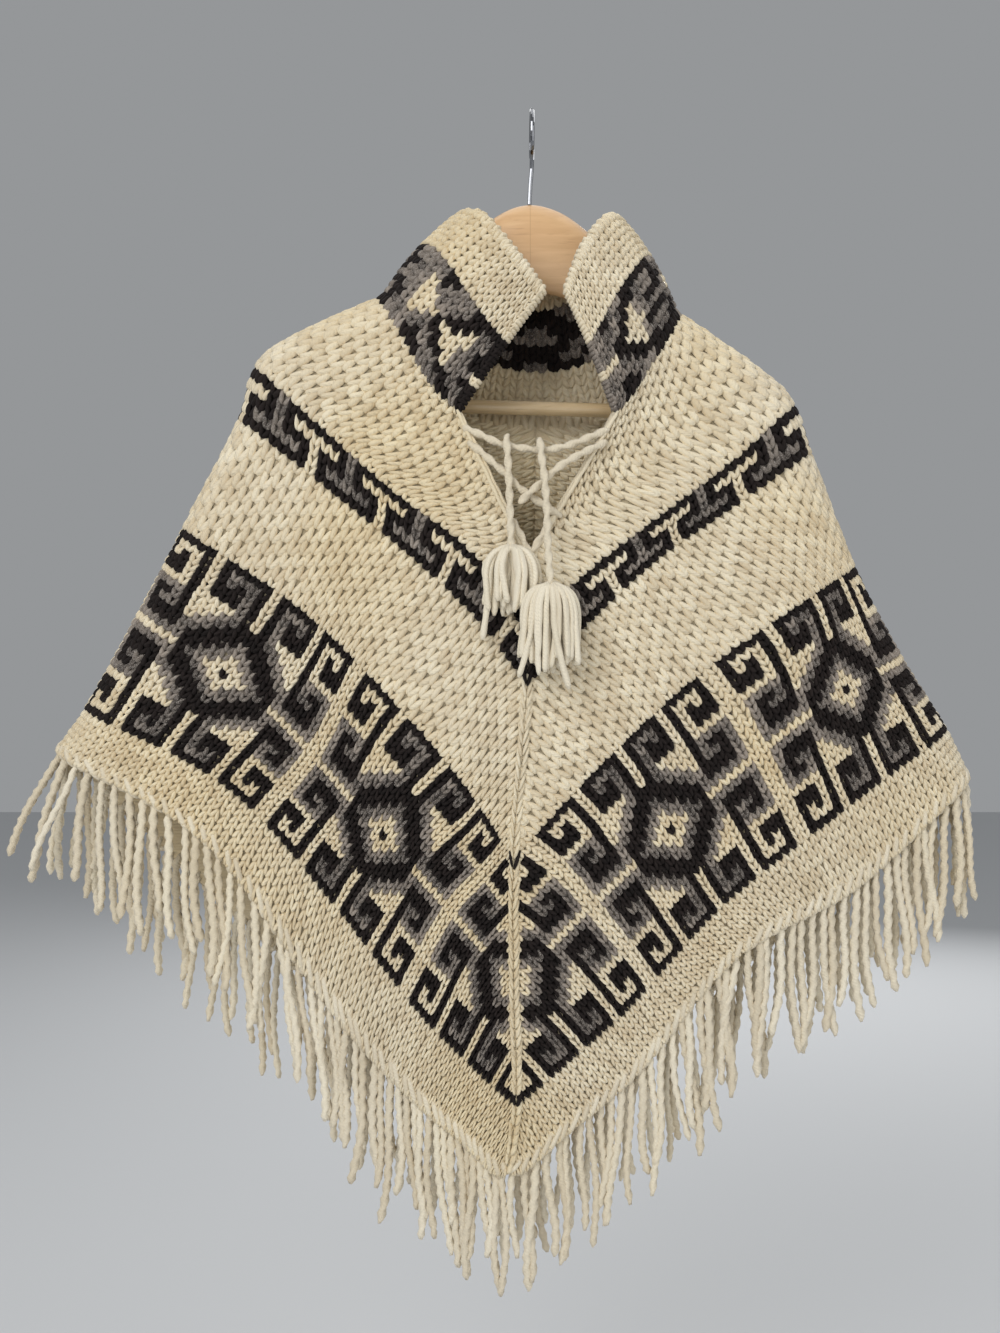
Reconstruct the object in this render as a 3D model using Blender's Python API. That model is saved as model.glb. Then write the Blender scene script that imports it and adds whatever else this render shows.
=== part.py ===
"""Knitted poncho with collar, lace, tassels and fringe, held by a wooden clothes hanger."""
import math

import bmesh
import bpy
import numpy as np

MM = 0.001

ROWS_OF_KNIT = 70.0
SLIT_ROWS = 12.5
CLOTH_THICKNESS = 5.0 * MM
SEAM_GAP = 0.3 * MM
FOLD_TURN = 38.0 * MM
ARC_PER_CHORD = 1.06
NARROWEST_COLUMN = 0.3
SLOPE_STEP = 0.001
FRONT_COLUMNS = 16
BACK_COLUMNS = 12
COLLAR_RINGS = 5
COLLAR_BELLY = 5.0 * MM
COLLAR_LIFT = 0.75 * MM
COLLAR_ROOT = 3.5 * MM

FRINGE_PER_EDGE = 46
FRINGE_STRIP_HEIGHT = 5.0 * MM
FRINGE_LIFT = 0.6 * MM
FRINGE_FIRST_SHARE = 0.035
FRINGE_LAST_SHARE = 0.985
STRAND_HALF_WIDTH = 2.3 * MM
STRAND_LENGTH = 104.0 * MM
STRAND_LENGTH_SPREAD = 14.0 * MM
STRAND_STATIONS = (0.12, 0.55, 1.0)
STRAND_WAVE_TURN = 2.4
STRAND_SWAY = 1.6 * MM
STRAND_STAND = 3.0 * MM
LEANING_SHARE = 0.14

LACE_DIAMETER = 5.6 * MM
HOOK_WIRE_DIAMETER = 3.6 * MM
HOOK_INNER_RADIUS = 19.0 * MM
HOOK_STEPS = 30
HOOK_START_DEGREES = -100
HOOK_STEP_DEGREES = 10
BAR_DIAMETER = 12.0 * MM
BAR_SIDES = 20
HANGER_RING_SIDES = 14
SHOULDER_REST = 0.5 * MM

# Rows that the solid's rings stand on, counted in knitted rows from the collar seam to the hem.
RING_ROWS = (0, 3, 6, 9, 12.5, 15, 18, 23, 27, 31, 35, 39, 43, 47, 51, 55, 58, 61, 64, 66, 68, 70)

# Each line is (row, five points from the side fold to the centre line), each point (x, depth, z) in mm.
# At the fold, depth is the half depth of the rounding there.
LEFT_FRONT = (
    (0, (-129, -20, -158), (-112, -34, -186), (-96, -44, -215), (-78, -50, -244), (-58, -52, -264)),
    (12.5, (-205, -22, -193), (-153, -36, -246), (-107, -44, -297), (-55, -50, -339), (-3, -52, -379)),
    (18, (-232, -22, -217), (-172, -36, -280), (-117, -44, -332), (-54, -51, -377), (-4, -54, -433)),
    (23, (-246, -22, -257), (-173, -36, -311), (-108, -45, -362), (-52, -51, -417), (-5, -54, -482)),
    (38, (-293, -22, -351), (-196, -38, -416), (-131, -46, -476), (-61, -52, -555), (-16, -56, -621)),
    (50.5, (-331, -21, -423), (-222, -42, -497), (-145, -44, -578), (-78, -52, -652), (-16, -57, -722)),
    (63, (-376, -20, -504), (-251, -48, -564), (-159, -38, -666), (-82, -48, -760), (-14, -56, -819)),
    (70, (-401, -19, -540), (-266, -54, -609), (-168, -32, -748), (-89, -46, -828), (-21, -54, -874)),
)
RIGHT_FRONT = (
    (0, (124, -20, -171), (109, -34, -199), (95, -44, -221), (80, -50, -246), (65, -52, -265)),
    (12.5, (196, -22, -222), (135, -36, -270), (84, -44, -309), (39, -50, -344), (-3, -52, -379)),
    (18, (220, -22, -247), (159, -36, -302), (104, -44, -344), (49, -51, -386), (-4, -54, -433)),
    (23, (234, -22, -287), (164, -36, -337), (102, -45, -380), (47, -51, -430), (-5, -54, -482)),
    (38, (270, -22, -383), (218, -38, -416), (127, -46, -480), (57, -52, -544), (-16, -56, -621)),
    (50.5, (310, -22, -460), (232, -36, -501), (140, -46, -575), (59, -50, -648), (-16, -57, -722)),
    (63, (348, -22, -521), (250, -32, -589), (150, -52, -664), (72, -42, -751), (-14, -56, -819)),
    (70, (368, -20, -562), (265, -28, -638), (162, -56, -717), (78, -38, -807), (-21, -54, -874)),
)
LEFT_BACK = (
    (0, (-129, 18, -158), (-107, 24, -194), (-79, 28, -232), (-43, 30, -254), (4, 30, -261)),
    (12.5, (-205, 20, -193), (-158, 27, -239), (-104, 30, -287), (-52, 31, -334), (2, 31, -376)),
    (38, (-293, 20, -351), (-228, 28, -420), (-157, 31, -492), (-84, 32, -564), (-8, 32, -611)),
    (70, (-401, 18, -540), (-319, 28, -628), (-220, 34, -719), (-119, 29, -808), (-18, 32, -884)),
)
RIGHT_BACK = (
    (0, (124, 18, -171), (108, 24, -201), (85, 28, -233), (52, 30, -256), (4, 30, -261)),
    (12.5, (196, 20, -222), (152, 27, -259), (104, 30, -301), (54, 31, -341), (2, 31, -376)),
    (38, (270, 20, -383), (209, 28, -446), (139, 31, -499), (68, 32, -558), (-8, 32, -611)),
    (70, (368, 18, -562), (278, 27, -652), (181, 34, -733), (82, 29, -810), (-18, 32, -884)),
)

# Each line is (place along the collar, x, depth, z) in mm of the collar's top edge. The place runs
# 0 at the left front end, 1 at the left fold, 2 at the centre back, 3 at the right fold, 4 at the
# right front end.
COLLAR_TOP = (
    (0.0, 9, -62, -167),
    (0.5, -17, -55, -130),
    (0.8, -42, -34, -95),
    (1.0, -59, -4, -85),
    (1.35, -50, 18, -97),
    (1.7, -27, 25, -120),
    (2.0, 4, 27, -134),
    (2.3, 36, 25, -122),
    (2.65, 62, 18, -100),
    (3.0, 74, -4, -92),
    (3.2, 62, -34, -97),
    (3.5, 41, -56, -127),
    (4.0, 25, -63, -167),
)

# Each line is (x, top, bottom, half depth) in mm of one ring of the hanger's wooden body. Where no
# top is given, the shoulder of the cloth rests on the wood.
HANGER_RINGS = (
    (-221, -233, -247, 4.5),
    (-216, -225, -254, 7.5),
    (-205, None, -258, 10),
    (-193, None, -258, 11),
    (-192, None, -232, 11),
    (-165, None, -214, 11),
    (-140, None, -200, 11),
    (-122, -166, -191, 11),
    (-90, -140, -176, 11),
    (-60, -110, -163, 11.5),
    (-36, -91, -156, 11.5),
    (-18, -80.5, -152, 11.5),
    (-2, -77, -151, 11.5),
    (14, -79.5, -153, 11.5),
    (32, -88, -158, 11.5),
    (56, -108, -168, 11.5),
    (88, -143, -183, 11),
    (118, -175, -200, 11),
    (136, None, -211, 11),
    (160, None, -228, 11),
    (183, None, -243, 11),
    (184, None, -266, 11),
    (195, None, -268, 9.5),
    (204, -251, -268, 7),
    (208, -257, -265, 4.5),
)
BAR_LEFT_END = (-191.7, 0, -244)
BAR_RIGHT_END = (182.7, 0, -255)

# Each line is (x, depth, z) in mm along the middle of the hook's wire, in the plane of its bend.
HOOK_STEM = ((-2.0, 0, -76.6), (-1.2, 0, -60), (0, 0, -46))

# Each line is (x, height, how far the cord's middle stands before the slit's plane) in mm.
LACE_TOP_STRETCH = ((-57, -276, 3.1), (-48, -280, 4), (-38, -285, 6), (-27, -290, 6), (-10, -293.5, 6),
                    (8, -295, 6), (26, -292, 6), (42, -286, 6), (51, -282, 4.5), (61, -278, 3.1))
LACE_FALLING_STRETCH = ((-53, -288, 3.1), (-44, -295, 5), (-34, -304, 6.5), (-24, -313, 6.5),
                        (-12, -325, 6.5), (0, -334, 6.5), (9, -340, 6), (16, -344.5, 4.5), (23, -348, 3.1))
LACE_RISING_STRETCH = ((59, -288, 3.1), (48, -293.5, 7), (36, -300, 11), (21, -309, 13.2), (5, -323, 13.2),
                       (-4, -331, 13), (-12, -338.5, 10))
LACE_FOOT_STRETCH = ((-17.5, -350, 3.1), (-11, -362, 4), (-2.5, -377, 4.4), (4.5, -367, 4), (14.5, -352, 3.1))
LACE_LEFT_END = ((-21.5, -283.4, 7.5), (-21.7, -287.2, 11.2), (-21.4, -292, 12.4), (-20.5, -306, 12.8),
                 (-19.5, -330, 12.8), (-18.5, -360, 12.2), (-18, -376, 12))
LACE_RIGHT_END = ((5, -286.6, 7.5), (5.2, -290.4, 11.4), (5.5, -296, 13.6), (6.5, -306, 17.4),
                  (8, -317, 19.5), (9.8, -340, 20), (11, -372, 20.5), (12.5, -398, 23), (13, -407, 23.5))
SLIT_PLANE_DEPTH = -52 * MM

TASSEL_COLUMNS = 7
TASSEL_CELL_WIDTH = 2.5 * MM
TASSEL_CELL_DEPTH = 2.3 * MM
TASSEL_HEAD_HEIGHT = 8.0 * MM
TASSEL_HEAD_CROWN = 0.30
TASSEL_HEAD_LIP = 2.5 * MM
TASSEL_STATIONS = (0.18, 0.55, 1.0)
TASSEL_STRAND_LENGTH = 40.0 * MM
TASSEL_STRAND_HALF_WIDTH = 1.9 * MM
TASSEL_STRAND_HALF_DEPTH = 1.5 * MM
TASSEL_FAN = 12.0 * MM
TASSEL_LEFT_TOP = (-18, -376.4, 12)
TASSEL_RIGHT_TOP = (13, -407.4, 23.5)
TASSEL_RIGHT_DROP = 18.0 * MM

CREAM_WOOL = (0.76, 0.69, 0.55, 1.0)
BEECH = (0.66, 0.42, 0.22, 1.0)
CHROME = (0.75, 0.75, 0.77, 1.0)


def clear_objects():
    for obj in list(bpy.data.objects):
        bpy.data.objects.remove(obj, do_unlink=True)


def make_material(name, color, roughness, metallic=0.0):
    material = bpy.data.materials.new(name)
    material.use_nodes = True
    shader = material.node_tree.nodes["Principled BSDF"]
    shader.inputs["Base Color"].default_value = color
    shader.inputs["Roughness"].default_value = roughness
    shader.inputs["Metallic"].default_value = metallic
    material.diffuse_color = color
    return material


def add_mesh(name, points, faces, color, roughness=0.95, smooth=True):
    mesh = bpy.data.meshes.new(name)
    mesh.from_pydata([tuple(float(c) for c in p) for p in points], [], faces)
    mesh.validate()
    mesh.update()
    for polygon in mesh.polygons:
        polygon.use_smooth = smooth
    obj = bpy.data.objects.new(name, mesh)
    bpy.context.scene.collection.objects.link(obj)
    mesh.materials.append(make_material(name + "_material", color, roughness))
    return obj


def add_cord(name, points, diameter, color, metallic=0.0, roughness=0.9):
    curve = bpy.data.curves.new(name, "CURVE")
    curve.dimensions = "3D"
    curve.bevel_depth = diameter / 2
    curve.bevel_resolution = 2
    curve.use_fill_caps = True
    spline = curve.splines.new("POLY")
    spline.points.add(len(points) - 1)
    for point, place in zip(spline.points, points):
        point.co = (place[0], place[1], place[2], 1.0)
    obj = bpy.data.objects.new(name, curve)
    bpy.context.scene.collection.objects.link(obj)
    curve.materials.append(make_material(name + "_material", color, roughness, metallic))
    return obj


def slopes_of(keys, values):
    slopes = np.zeros_like(values)
    for index in range(len(keys)):
        before = max(index - 1, 0)
        after = min(index + 1, len(keys) - 1)
        slopes[index] = (values[after] - values[before]) / (keys[after] - keys[before])
    return slopes


def smooth_between(keys, values, place):
    """Smooth curve through the values at the keys, read at one place."""
    keys = np.asarray(keys, float)
    values = np.asarray(values, float)
    slopes = slopes_of(keys, values)
    index = int(np.clip(np.searchsorted(keys, place) - 1, 0, len(keys) - 2))
    width = keys[index + 1] - keys[index]
    share = (place - keys[index]) / width
    rise = 3 * share ** 2 - 2 * share ** 3
    start_pull = share ** 3 - 2 * share ** 2 + share
    end_pull = share ** 3 - share ** 2
    return ((1 - rise) * values[index] + rise * values[index + 1]
            + width * (start_pull * slopes[index] + end_pull * slopes[index + 1]))


def knots_at(table, row, share_index):
    """One column of a half panel's table, read at a row. The centre front line breaks at the slit's foot."""
    rows = [line[0] for line in table]
    knots = np.array([line[1 + share_index] for line in table], float) * MM
    if share_index == 4 and SLIT_ROWS in rows and table in (LEFT_FRONT, RIGHT_FRONT):
        foot = rows.index(SLIT_ROWS)
        part = slice(foot, None) if row >= SLIT_ROWS else slice(0, foot + 1)
        rows, knots = rows[part], knots[part]
    return smooth_between(rows, knots, row)


def half_panel_point(table, fold_table, row, share):
    """Point of a half panel's outer face in metres, rounded over the side fold at share 0."""
    across = np.array([knots_at(table, row, index) for index in range(5)])
    fold = knots_at(fold_table, row, 0)
    across[0, 0], across[0, 2] = fold[0], fold[2]
    length = math.hypot(across[4, 0] - across[0, 0], across[4, 2] - across[0, 2]) * ARC_PER_CHORD
    reach = FOLD_TURN / length
    saved = reach * (1 - 2 / math.pi)
    if share < reach:
        turn = 0.5 * math.pi * share / reach
        sideways = reach * 2 / math.pi * (1 - math.cos(turn))
        depth_share = math.sin(turn)
    else:
        sideways = share - saved
        depth_share = 1.0
    point = smooth_between((0, 0.25, 0.5, 0.75, 1), across, sideways / (1 - saved))
    point[1] *= depth_share
    return point


def panel_columns():
    """Columns of a panel: -1 at the centre front, 0 at the side fold, 1 at the centre back."""
    def eased(count):
        even = np.linspace(0, 1, count + 1)
        return even * (NARROWEST_COLUMN + (1 - NARROWEST_COLUMN) * even)
    front = [-share for share in eased(FRONT_COLUMNS)[::-1]]
    back = list(eased(BACK_COLUMNS)[1:])
    return front + back


def panel_surface(front_table, back_table, row, column):
    if column <= 0:
        return half_panel_point(front_table, front_table, row, -column)
    return half_panel_point(back_table, front_table, row, column)


def panel_grids(front_table, back_table, side):
    """Outer and inner points of a panel. Side is -1 for the left one and 1 for the right one."""
    columns = panel_columns()
    outer = np.array([[panel_surface(front_table, back_table, row, column) for column in columns]
                      for row in RING_ROWS])
    inner = outer.copy()
    for i, row in enumerate(RING_ROWS):
        for j, column in enumerate(columns):
            below = panel_surface(front_table, back_table, min(row + 0.5, ROWS_OF_KNIT), column)
            above = panel_surface(front_table, back_table, max(row - 0.5, 0.0), column)
            ahead = panel_surface(front_table, back_table, row, min(column + SLOPE_STEP, 1.0))
            behind = panel_surface(front_table, back_table, row, max(column - SLOPE_STEP, -1.0))
            inward = np.cross(ahead - behind, below - above) * side
            inward /= np.linalg.norm(inward)
            if column == 1.0 or (column == -1.0 and row >= SLIT_ROWS):
                inward = np.array((0.0, 1.0 if column < 0 else -1.0, 0.0))
            inner[i, j] = outer[i, j] + inward * CLOTH_THICKNESS
    for grid in (outer, inner):
        for i, row in enumerate(RING_ROWS):
            grid[i, -1, 0] += side * SEAM_GAP / 2
            if row >= SLIT_ROWS:
                grid[i, 0, 0] += side * SEAM_GAP / 2
    return outer, inner


def wall_mesh(name, outer, inner, color, flip):
    """Closed wall between two grids of the same size."""
    rows, columns = outer.shape[:2]
    points = np.concatenate((outer.reshape(-1, 3), inner.reshape(-1, 3)))
    shift = rows * columns
    faces = []
    for i in range(rows - 1):
        for j in range(columns - 1):
            a, b = i * columns + j, i * columns + j + 1
            c, d = b + columns, a + columns
            faces.append((a, b, c, d))
            faces.append((d + shift, c + shift, b + shift, a + shift))
    border = [j for j in range(columns)]
    border += [i * columns + columns - 1 for i in range(1, rows)]
    border += [(rows - 1) * columns + j for j in range(columns - 2, -1, -1)]
    border += [i * columns for i in range(rows - 2, 0, -1)]
    for here, after in zip(border, border[1:] + border[:1]):
        one_way = np.linalg.norm(points[after] - points[here + shift])
        other_way = np.linalg.norm(points[here] - points[after + shift])
        if one_way < other_way:
            faces.append((after, here, here + shift))
            faces.append((after, here + shift, after + shift))
        else:
            faces.append((after, here, after + shift))
            faces.append((here, here + shift, after + shift))
    if flip:
        faces = [tuple(reversed(face)) for face in faces]
    return add_mesh(name, points, faces, color)


def add_panels():
    left = panel_grids(LEFT_FRONT, LEFT_BACK, -1)
    right = panel_grids(RIGHT_FRONT, RIGHT_BACK, 1)
    wall_mesh("panel_left", left[0], left[1], CREAM_WOOL, False)
    wall_mesh("panel_right", right[0], right[1], CREAM_WOOL, True)
    return left, right


def seam_edge(left, right):
    """The panels' top edges as one line from the left front end round the back to the right."""
    edge = []
    left_columns = panel_columns()
    for j, column in enumerate(left_columns):
        edge.append((1 + column, left[0][0, j], left[1][0, j], left[0][1, j]))
    for j in range(len(left_columns) - 2, -1, -1):
        edge.append((3 - left_columns[j], right[0][0, j], right[1][0, j], right[0][1, j]))
    return edge


def add_collar(left, right):
    edge = seam_edge(left, right)
    places = [line[0] for line in COLLAR_TOP]
    tops = np.array([line[1:] for line in COLLAR_TOP], float) * MM
    outer = []
    for place, edge_outer, edge_inner, below in edge:
        up = (edge_outer - below) / np.linalg.norm(edge_outer - below)
        root = edge_outer + up * COLLAR_ROOT
        top = smooth_between(places, tops, place)
        column = [edge_outer + up * COLLAR_LIFT]
        column += [root + (top - root) * ring / (COLLAR_RINGS - 1) for ring in range(COLLAR_RINGS)]
        outer.append(column)
    outer = np.array(outer).transpose(1, 0, 2)
    inner = outer.copy()
    last = len(edge) - 1
    for i in range(1, COLLAR_RINGS + 1):
        for j in range(len(edge)):
            along = outer[i, min(j + 1, last)] - outer[i, max(j - 1, 0)]
            upward = outer[min(i + 1, COLLAR_RINGS), j] - outer[i - 1, j]
            away = np.cross(upward, along)
            away /= np.linalg.norm(away)
            belly = math.sin(math.pi * (i - 1) / (COLLAR_RINGS - 1)) * COLLAR_BELLY
            inner[i, j] = outer[i, j] + away * (belly - CLOTH_THICKNESS)
            outer[i, j] = outer[i, j] + away * belly
    for j, (place, edge_outer, edge_inner, below) in enumerate(edge):
        up = (edge_outer - below) / np.linalg.norm(edge_outer - below)
        inner[0, j] = edge_inner + up * COLLAR_LIFT
        inner[1, j] = edge_inner + up * COLLAR_ROOT
    wall_mesh("collar", outer, inner, CREAM_WOOL, True)


def along_edge(shares, points, share):
    index = int(np.clip(np.searchsorted(shares, share) - 1, 0, len(shares) - 2))
    width = shares[index + 1] - shares[index]
    part = (share - shares[index]) / width
    return points[index] * (1 - part) + points[index + 1] * part


def strand_path(root, side_lean, length, wave):
    """Centre points of one hanging strand below its root."""
    points = []
    for share in STRAND_STATIONS:
        drop = length * share
        sway = side_lean * drop + wave[0] * math.sin(share * STRAND_WAVE_TURN)
        points.append(root + np.array((sway, wave[1] * share, -drop * math.sqrt(1 - side_lean ** 2))))
    return points


def add_fringe(name, grids, half, lean_at_side, seed):
    """A narrow strip under the hem with the strands grown from its lower faces."""
    outer, inner = grids
    columns = np.array(panel_columns())
    if half == "front":
        pick = np.where(columns <= 0)[0][::-1]
    else:
        pick = np.where(columns >= 0)[0]
    shares = np.abs(columns[pick])
    hem_outer, hem_inner = outer[-1, pick], inner[-1, pick]
    down = outer[-1, pick] - outer[-2, pick]
    down /= np.linalg.norm(down, axis=1)[:, None]
    cells = 2 * FRINGE_PER_EDGE - 1
    stations = np.linspace(FRINGE_FIRST_SHARE, FRINGE_LAST_SHARE, cells + 1)
    points = []
    for share in stations:
        edge_out = along_edge(shares, hem_outer, share)
        edge_in = along_edge(shares, hem_inner, share)
        drop = along_edge(shares, down, share)
        low = FRINGE_LIFT + FRINGE_STRIP_HEIGHT
        points += [edge_out + drop * FRINGE_LIFT, edge_in + drop * FRINGE_LIFT,
                   edge_in + drop * low, edge_out + drop * low]
    faces = [(0, 1, 2, 3)]
    for cell in range(cells):
        a = 4 * cell
        b = a + 4
        faces.append((a, b, b + 1, a + 1))
        faces.append((a + 1, b + 1, b + 2, a + 2))
        faces.append((a + 3, b + 3, b, a))
        if cell % 2:
            faces.append((a + 2, b + 2, b + 3, a + 3))
            continue
        ring = [a + 2, b + 2, b + 3, a + 3]
        root = sum(points[corner] for corner in ring) / 4
        share = 0.5 * (stations[cell] + stations[cell + 1])
        number = cell // 2
        lean = lean_at_side * max(0.0, 1 - share / LEANING_SHARE) ** 1.3
        length = STRAND_LENGTH + STRAND_LENGTH_SPREAD * math.sin(number * 2.17 + seed)
        wave = (STRAND_SWAY * math.sin(number * 0.33 + seed), STRAND_STAND * math.sin(number * 0.41 + seed))
        along = (points[b + 3] - points[a + 3]) * np.array((1, 1, 0))
        outward = (points[a + 3] - points[a + 2]) * np.array((1, 1, 0))
        along /= np.linalg.norm(along)
        outward -= along * np.dot(outward, along)
        outward /= np.linalg.norm(outward)
        corners = (-along - outward, along - outward, along + outward, -along + outward)
        for place in strand_path(root, lean, length, wave):
            fresh = []
            for corner in corners:
                fresh.append(len(points))
                points.append(place + corner * STRAND_HALF_WIDTH)
            for k in range(4):
                faces.append((ring[k], ring[(k + 1) % 4], fresh[(k + 1) % 4], fresh[k]))
            ring = fresh
        faces.append(tuple(ring))
    last = 4 * cells
    faces.append((last + 3, last + 2, last + 1, last))
    obj = add_mesh(name, points, faces, CREAM_WOOL)
    face_outward(obj)
    return obj


def face_outward(obj):
    """Turn every face outward, read from the closed mesh's signed volume."""
    work = bmesh.new()
    work.from_mesh(obj.data)
    bmesh.ops.recalc_face_normals(work, faces=work.faces)
    if work.calc_volume(signed=True) < 0:
        bmesh.ops.reverse_faces(work, faces=work.faces)
    work.to_mesh(obj.data)
    work.free()


def add_tassel(name, top, extra_drop, seed):
    """A flat head with two rows of strands that fan out below it."""
    centre = np.array((top[0] * MM, SLIT_PLANE_DEPTH - top[2] * MM, top[1] * MM))
    xs = (np.arange(TASSEL_COLUMNS * 2) - (TASSEL_COLUMNS * 2 - 1) / 2) * TASSEL_CELL_WIDTH
    ys = np.array((-1.5, -0.5, 0.5, 1.5)) * TASSEL_CELL_DEPTH
    points = []
    count_x, count_y = len(xs), len(ys)
    for level in (0, 1):
        for x in xs:
            for y in ys:
                sag = (x / xs[-1]) ** 2
                dome = TASSEL_HEAD_HEIGHT * (TASSEL_HEAD_CROWN + (1 - TASSEL_HEAD_CROWN) * sag)
                z = -dome if level == 0 else -TASSEL_HEAD_HEIGHT - TASSEL_HEAD_LIP * (1 + sag)
                if level == 0 and abs(y) > abs(ys[1]) * 1.5:
                    z -= 1.2 * MM
                points.append(centre + np.array((x, y, z + TASSEL_HEAD_HEIGHT * TASSEL_HEAD_CROWN)))
    shift = count_x * count_y
    faces = []
    for i in range(count_x - 1):
        for j in range(count_y - 1):
            a = i * count_y + j
            b = a + count_y
            faces.append((a, b, b + 1, a + 1))
            ring = [a + shift, a + 1 + shift, b + 1 + shift, b + shift]
            if i % 2 or j == 1:
                faces.append(tuple(ring))
                continue
            number = i // 2
            spread = (number - (TASSEL_COLUMNS - 1) / 2) / ((TASSEL_COLUMNS - 1) / 2)
            forward = -1 if j == 0 else 1
            root = sum(points[corner] for corner in ring) / 4
            length = TASSEL_STRAND_LENGTH + extra_drop * 0.6 + 5 * MM * math.sin(number * 1.9 + j + seed)
            signs = [(np.sign(points[c][0] - root[0]), np.sign(points[c][1] - root[1])) for c in ring]
            for share in TASSEL_STATIONS:
                place = root + np.array((spread * TASSEL_FAN * math.sin(share * 1.9),
                                         forward * 0.4 * MM * share, -length * share))
                fresh = []
                for sign_x, sign_y in signs:
                    fresh.append(len(points))
                    points.append(place + np.array((sign_x * TASSEL_STRAND_HALF_WIDTH,
                                                    sign_y * TASSEL_STRAND_HALF_DEPTH, 0.0)))
                for k in range(4):
                    faces.append((ring[k], ring[(k + 1) % 4], fresh[(k + 1) % 4], fresh[k]))
                ring = fresh
            faces.append(tuple(ring))
    rim = [i * count_y for i in range(count_x)]
    rim += [(count_x - 1) * count_y + j for j in range(1, count_y)]
    rim += [i * count_y + count_y - 1 for i in range(count_x - 2, -1, -1)]
    rim += [j for j in range(count_y - 2, 0, -1)]
    for here, after in zip(rim, rim[1:] + rim[:1]):
        faces.append((here, after, after + shift, here + shift))
    obj = add_mesh(name, points, faces, CREAM_WOOL)
    face_outward(obj)
    return obj


def add_lace():
    """Two laces in four crossing stretches, with one free end each."""
    stretches = (
        ("lace_top", LACE_TOP_STRETCH),
        ("lace_falling", LACE_FALLING_STRETCH),
        ("lace_rising", LACE_RISING_STRETCH),
        ("lace_foot", LACE_FOOT_STRETCH),
        ("lace_end_left", LACE_LEFT_END),
        ("lace_end_right", LACE_RIGHT_END),
    )
    for name, line in stretches:
        points = [(x * MM, SLIT_PLANE_DEPTH - stand * MM, z * MM) for x, z, stand in line]
        add_cord(name, points, LACE_DIAMETER, CREAM_WOOL)


def shoulder_height(grids, x):
    """Height of the cloth's inner face over the shoulder at one x, in metres."""
    fold = grids[1][:, FRONT_COLUMNS]
    order = np.argsort(fold[:, 0])
    return float(np.interp(x, fold[order, 0], fold[order, 2]))


def add_hanger(left, right):
    points = []
    for x, top, bottom, half_depth in HANGER_RINGS:
        if top is None:
            grids = left if x < 0 else right
            top = (shoulder_height(grids, x * MM) - SHOULDER_REST) / MM
        centre = 0.5 * (top + bottom)
        half_height = 0.5 * (top - bottom)
        for side in range(HANGER_RING_SIDES):
            angle = 2 * math.pi * side / HANGER_RING_SIDES
            across = math.sin(angle)
            upward = math.copysign(abs(math.cos(angle)) ** 0.9, math.cos(angle))
            points.append((x * MM, across * half_depth * MM, (centre + upward * half_height) * MM))
    faces = [tuple(range(HANGER_RING_SIDES))]
    for ring in range(len(HANGER_RINGS) - 1):
        for side in range(HANGER_RING_SIDES):
            a = ring * HANGER_RING_SIDES + side
            b = ring * HANGER_RING_SIDES + (side + 1) % HANGER_RING_SIDES
            faces.append((a, a + HANGER_RING_SIDES, b + HANGER_RING_SIDES, b))
    first = (len(HANGER_RINGS) - 1) * HANGER_RING_SIDES
    faces.append(tuple(first + side for side in range(HANGER_RING_SIDES - 1, -1, -1)))
    obj = add_mesh("hanger_body", points, faces, BEECH, 0.35)
    face_outward(obj)


def add_bar():
    start = np.array(BAR_LEFT_END, float) * MM
    end = np.array(BAR_RIGHT_END, float) * MM
    points = []
    for centre in (start, end):
        for side in range(BAR_SIDES):
            angle = 2 * math.pi * side / BAR_SIDES
            points.append(centre + np.array((0.0, math.cos(angle), math.sin(angle))) * BAR_DIAMETER / 2)
    faces = [tuple(range(BAR_SIDES)), tuple(range(2 * BAR_SIDES - 1, BAR_SIDES - 1, -1))]
    for side in range(BAR_SIDES):
        after = (side + 1) % BAR_SIDES
        faces.append((side, side + BAR_SIDES, after + BAR_SIDES, after))
    obj = add_mesh("hanger_bar", points, faces, BEECH, 0.3)
    face_outward(obj)


def add_hook():
    """The wire rises from the wood and bends once round the hanging point, open below at the back."""
    radius = HOOK_INNER_RADIUS + HOOK_WIRE_DIAMETER / 2
    centre_height = -HOOK_INNER_RADIUS
    points = [(x * MM, y * MM, z * MM) for x, y, z in HOOK_STEM]
    for step in range(HOOK_STEPS):
        angle = math.radians(HOOK_START_DEGREES - step * HOOK_STEP_DEGREES)
        points.append((0.0, radius * math.cos(angle), centre_height + radius * math.sin(angle)))
    add_cord("hanger_hook", points, HOOK_WIRE_DIAMETER, CHROME, 1.0, 0.15)


clear_objects()
left_grids, right_grids = add_panels()
add_collar(left_grids, right_grids)
add_fringe("fringe_left_front", left_grids, "front", -0.62, 0.3)
add_fringe("fringe_left_back", left_grids, "back", -0.1, 1.7)
add_fringe("fringe_right_front", right_grids, "front", 0.06, 2.9)
add_fringe("fringe_right_back", right_grids, "back", 0.04, 4.1)
add_lace()
add_tassel("tassel_left", TASSEL_LEFT_TOP, 0.0, 0.5)
add_tassel("tassel_right", TASSEL_RIGHT_TOP, TASSEL_RIGHT_DROP, 2.1)
add_hanger(left_grids, right_grids)
add_bar()
add_hook()
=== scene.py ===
import math

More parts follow.
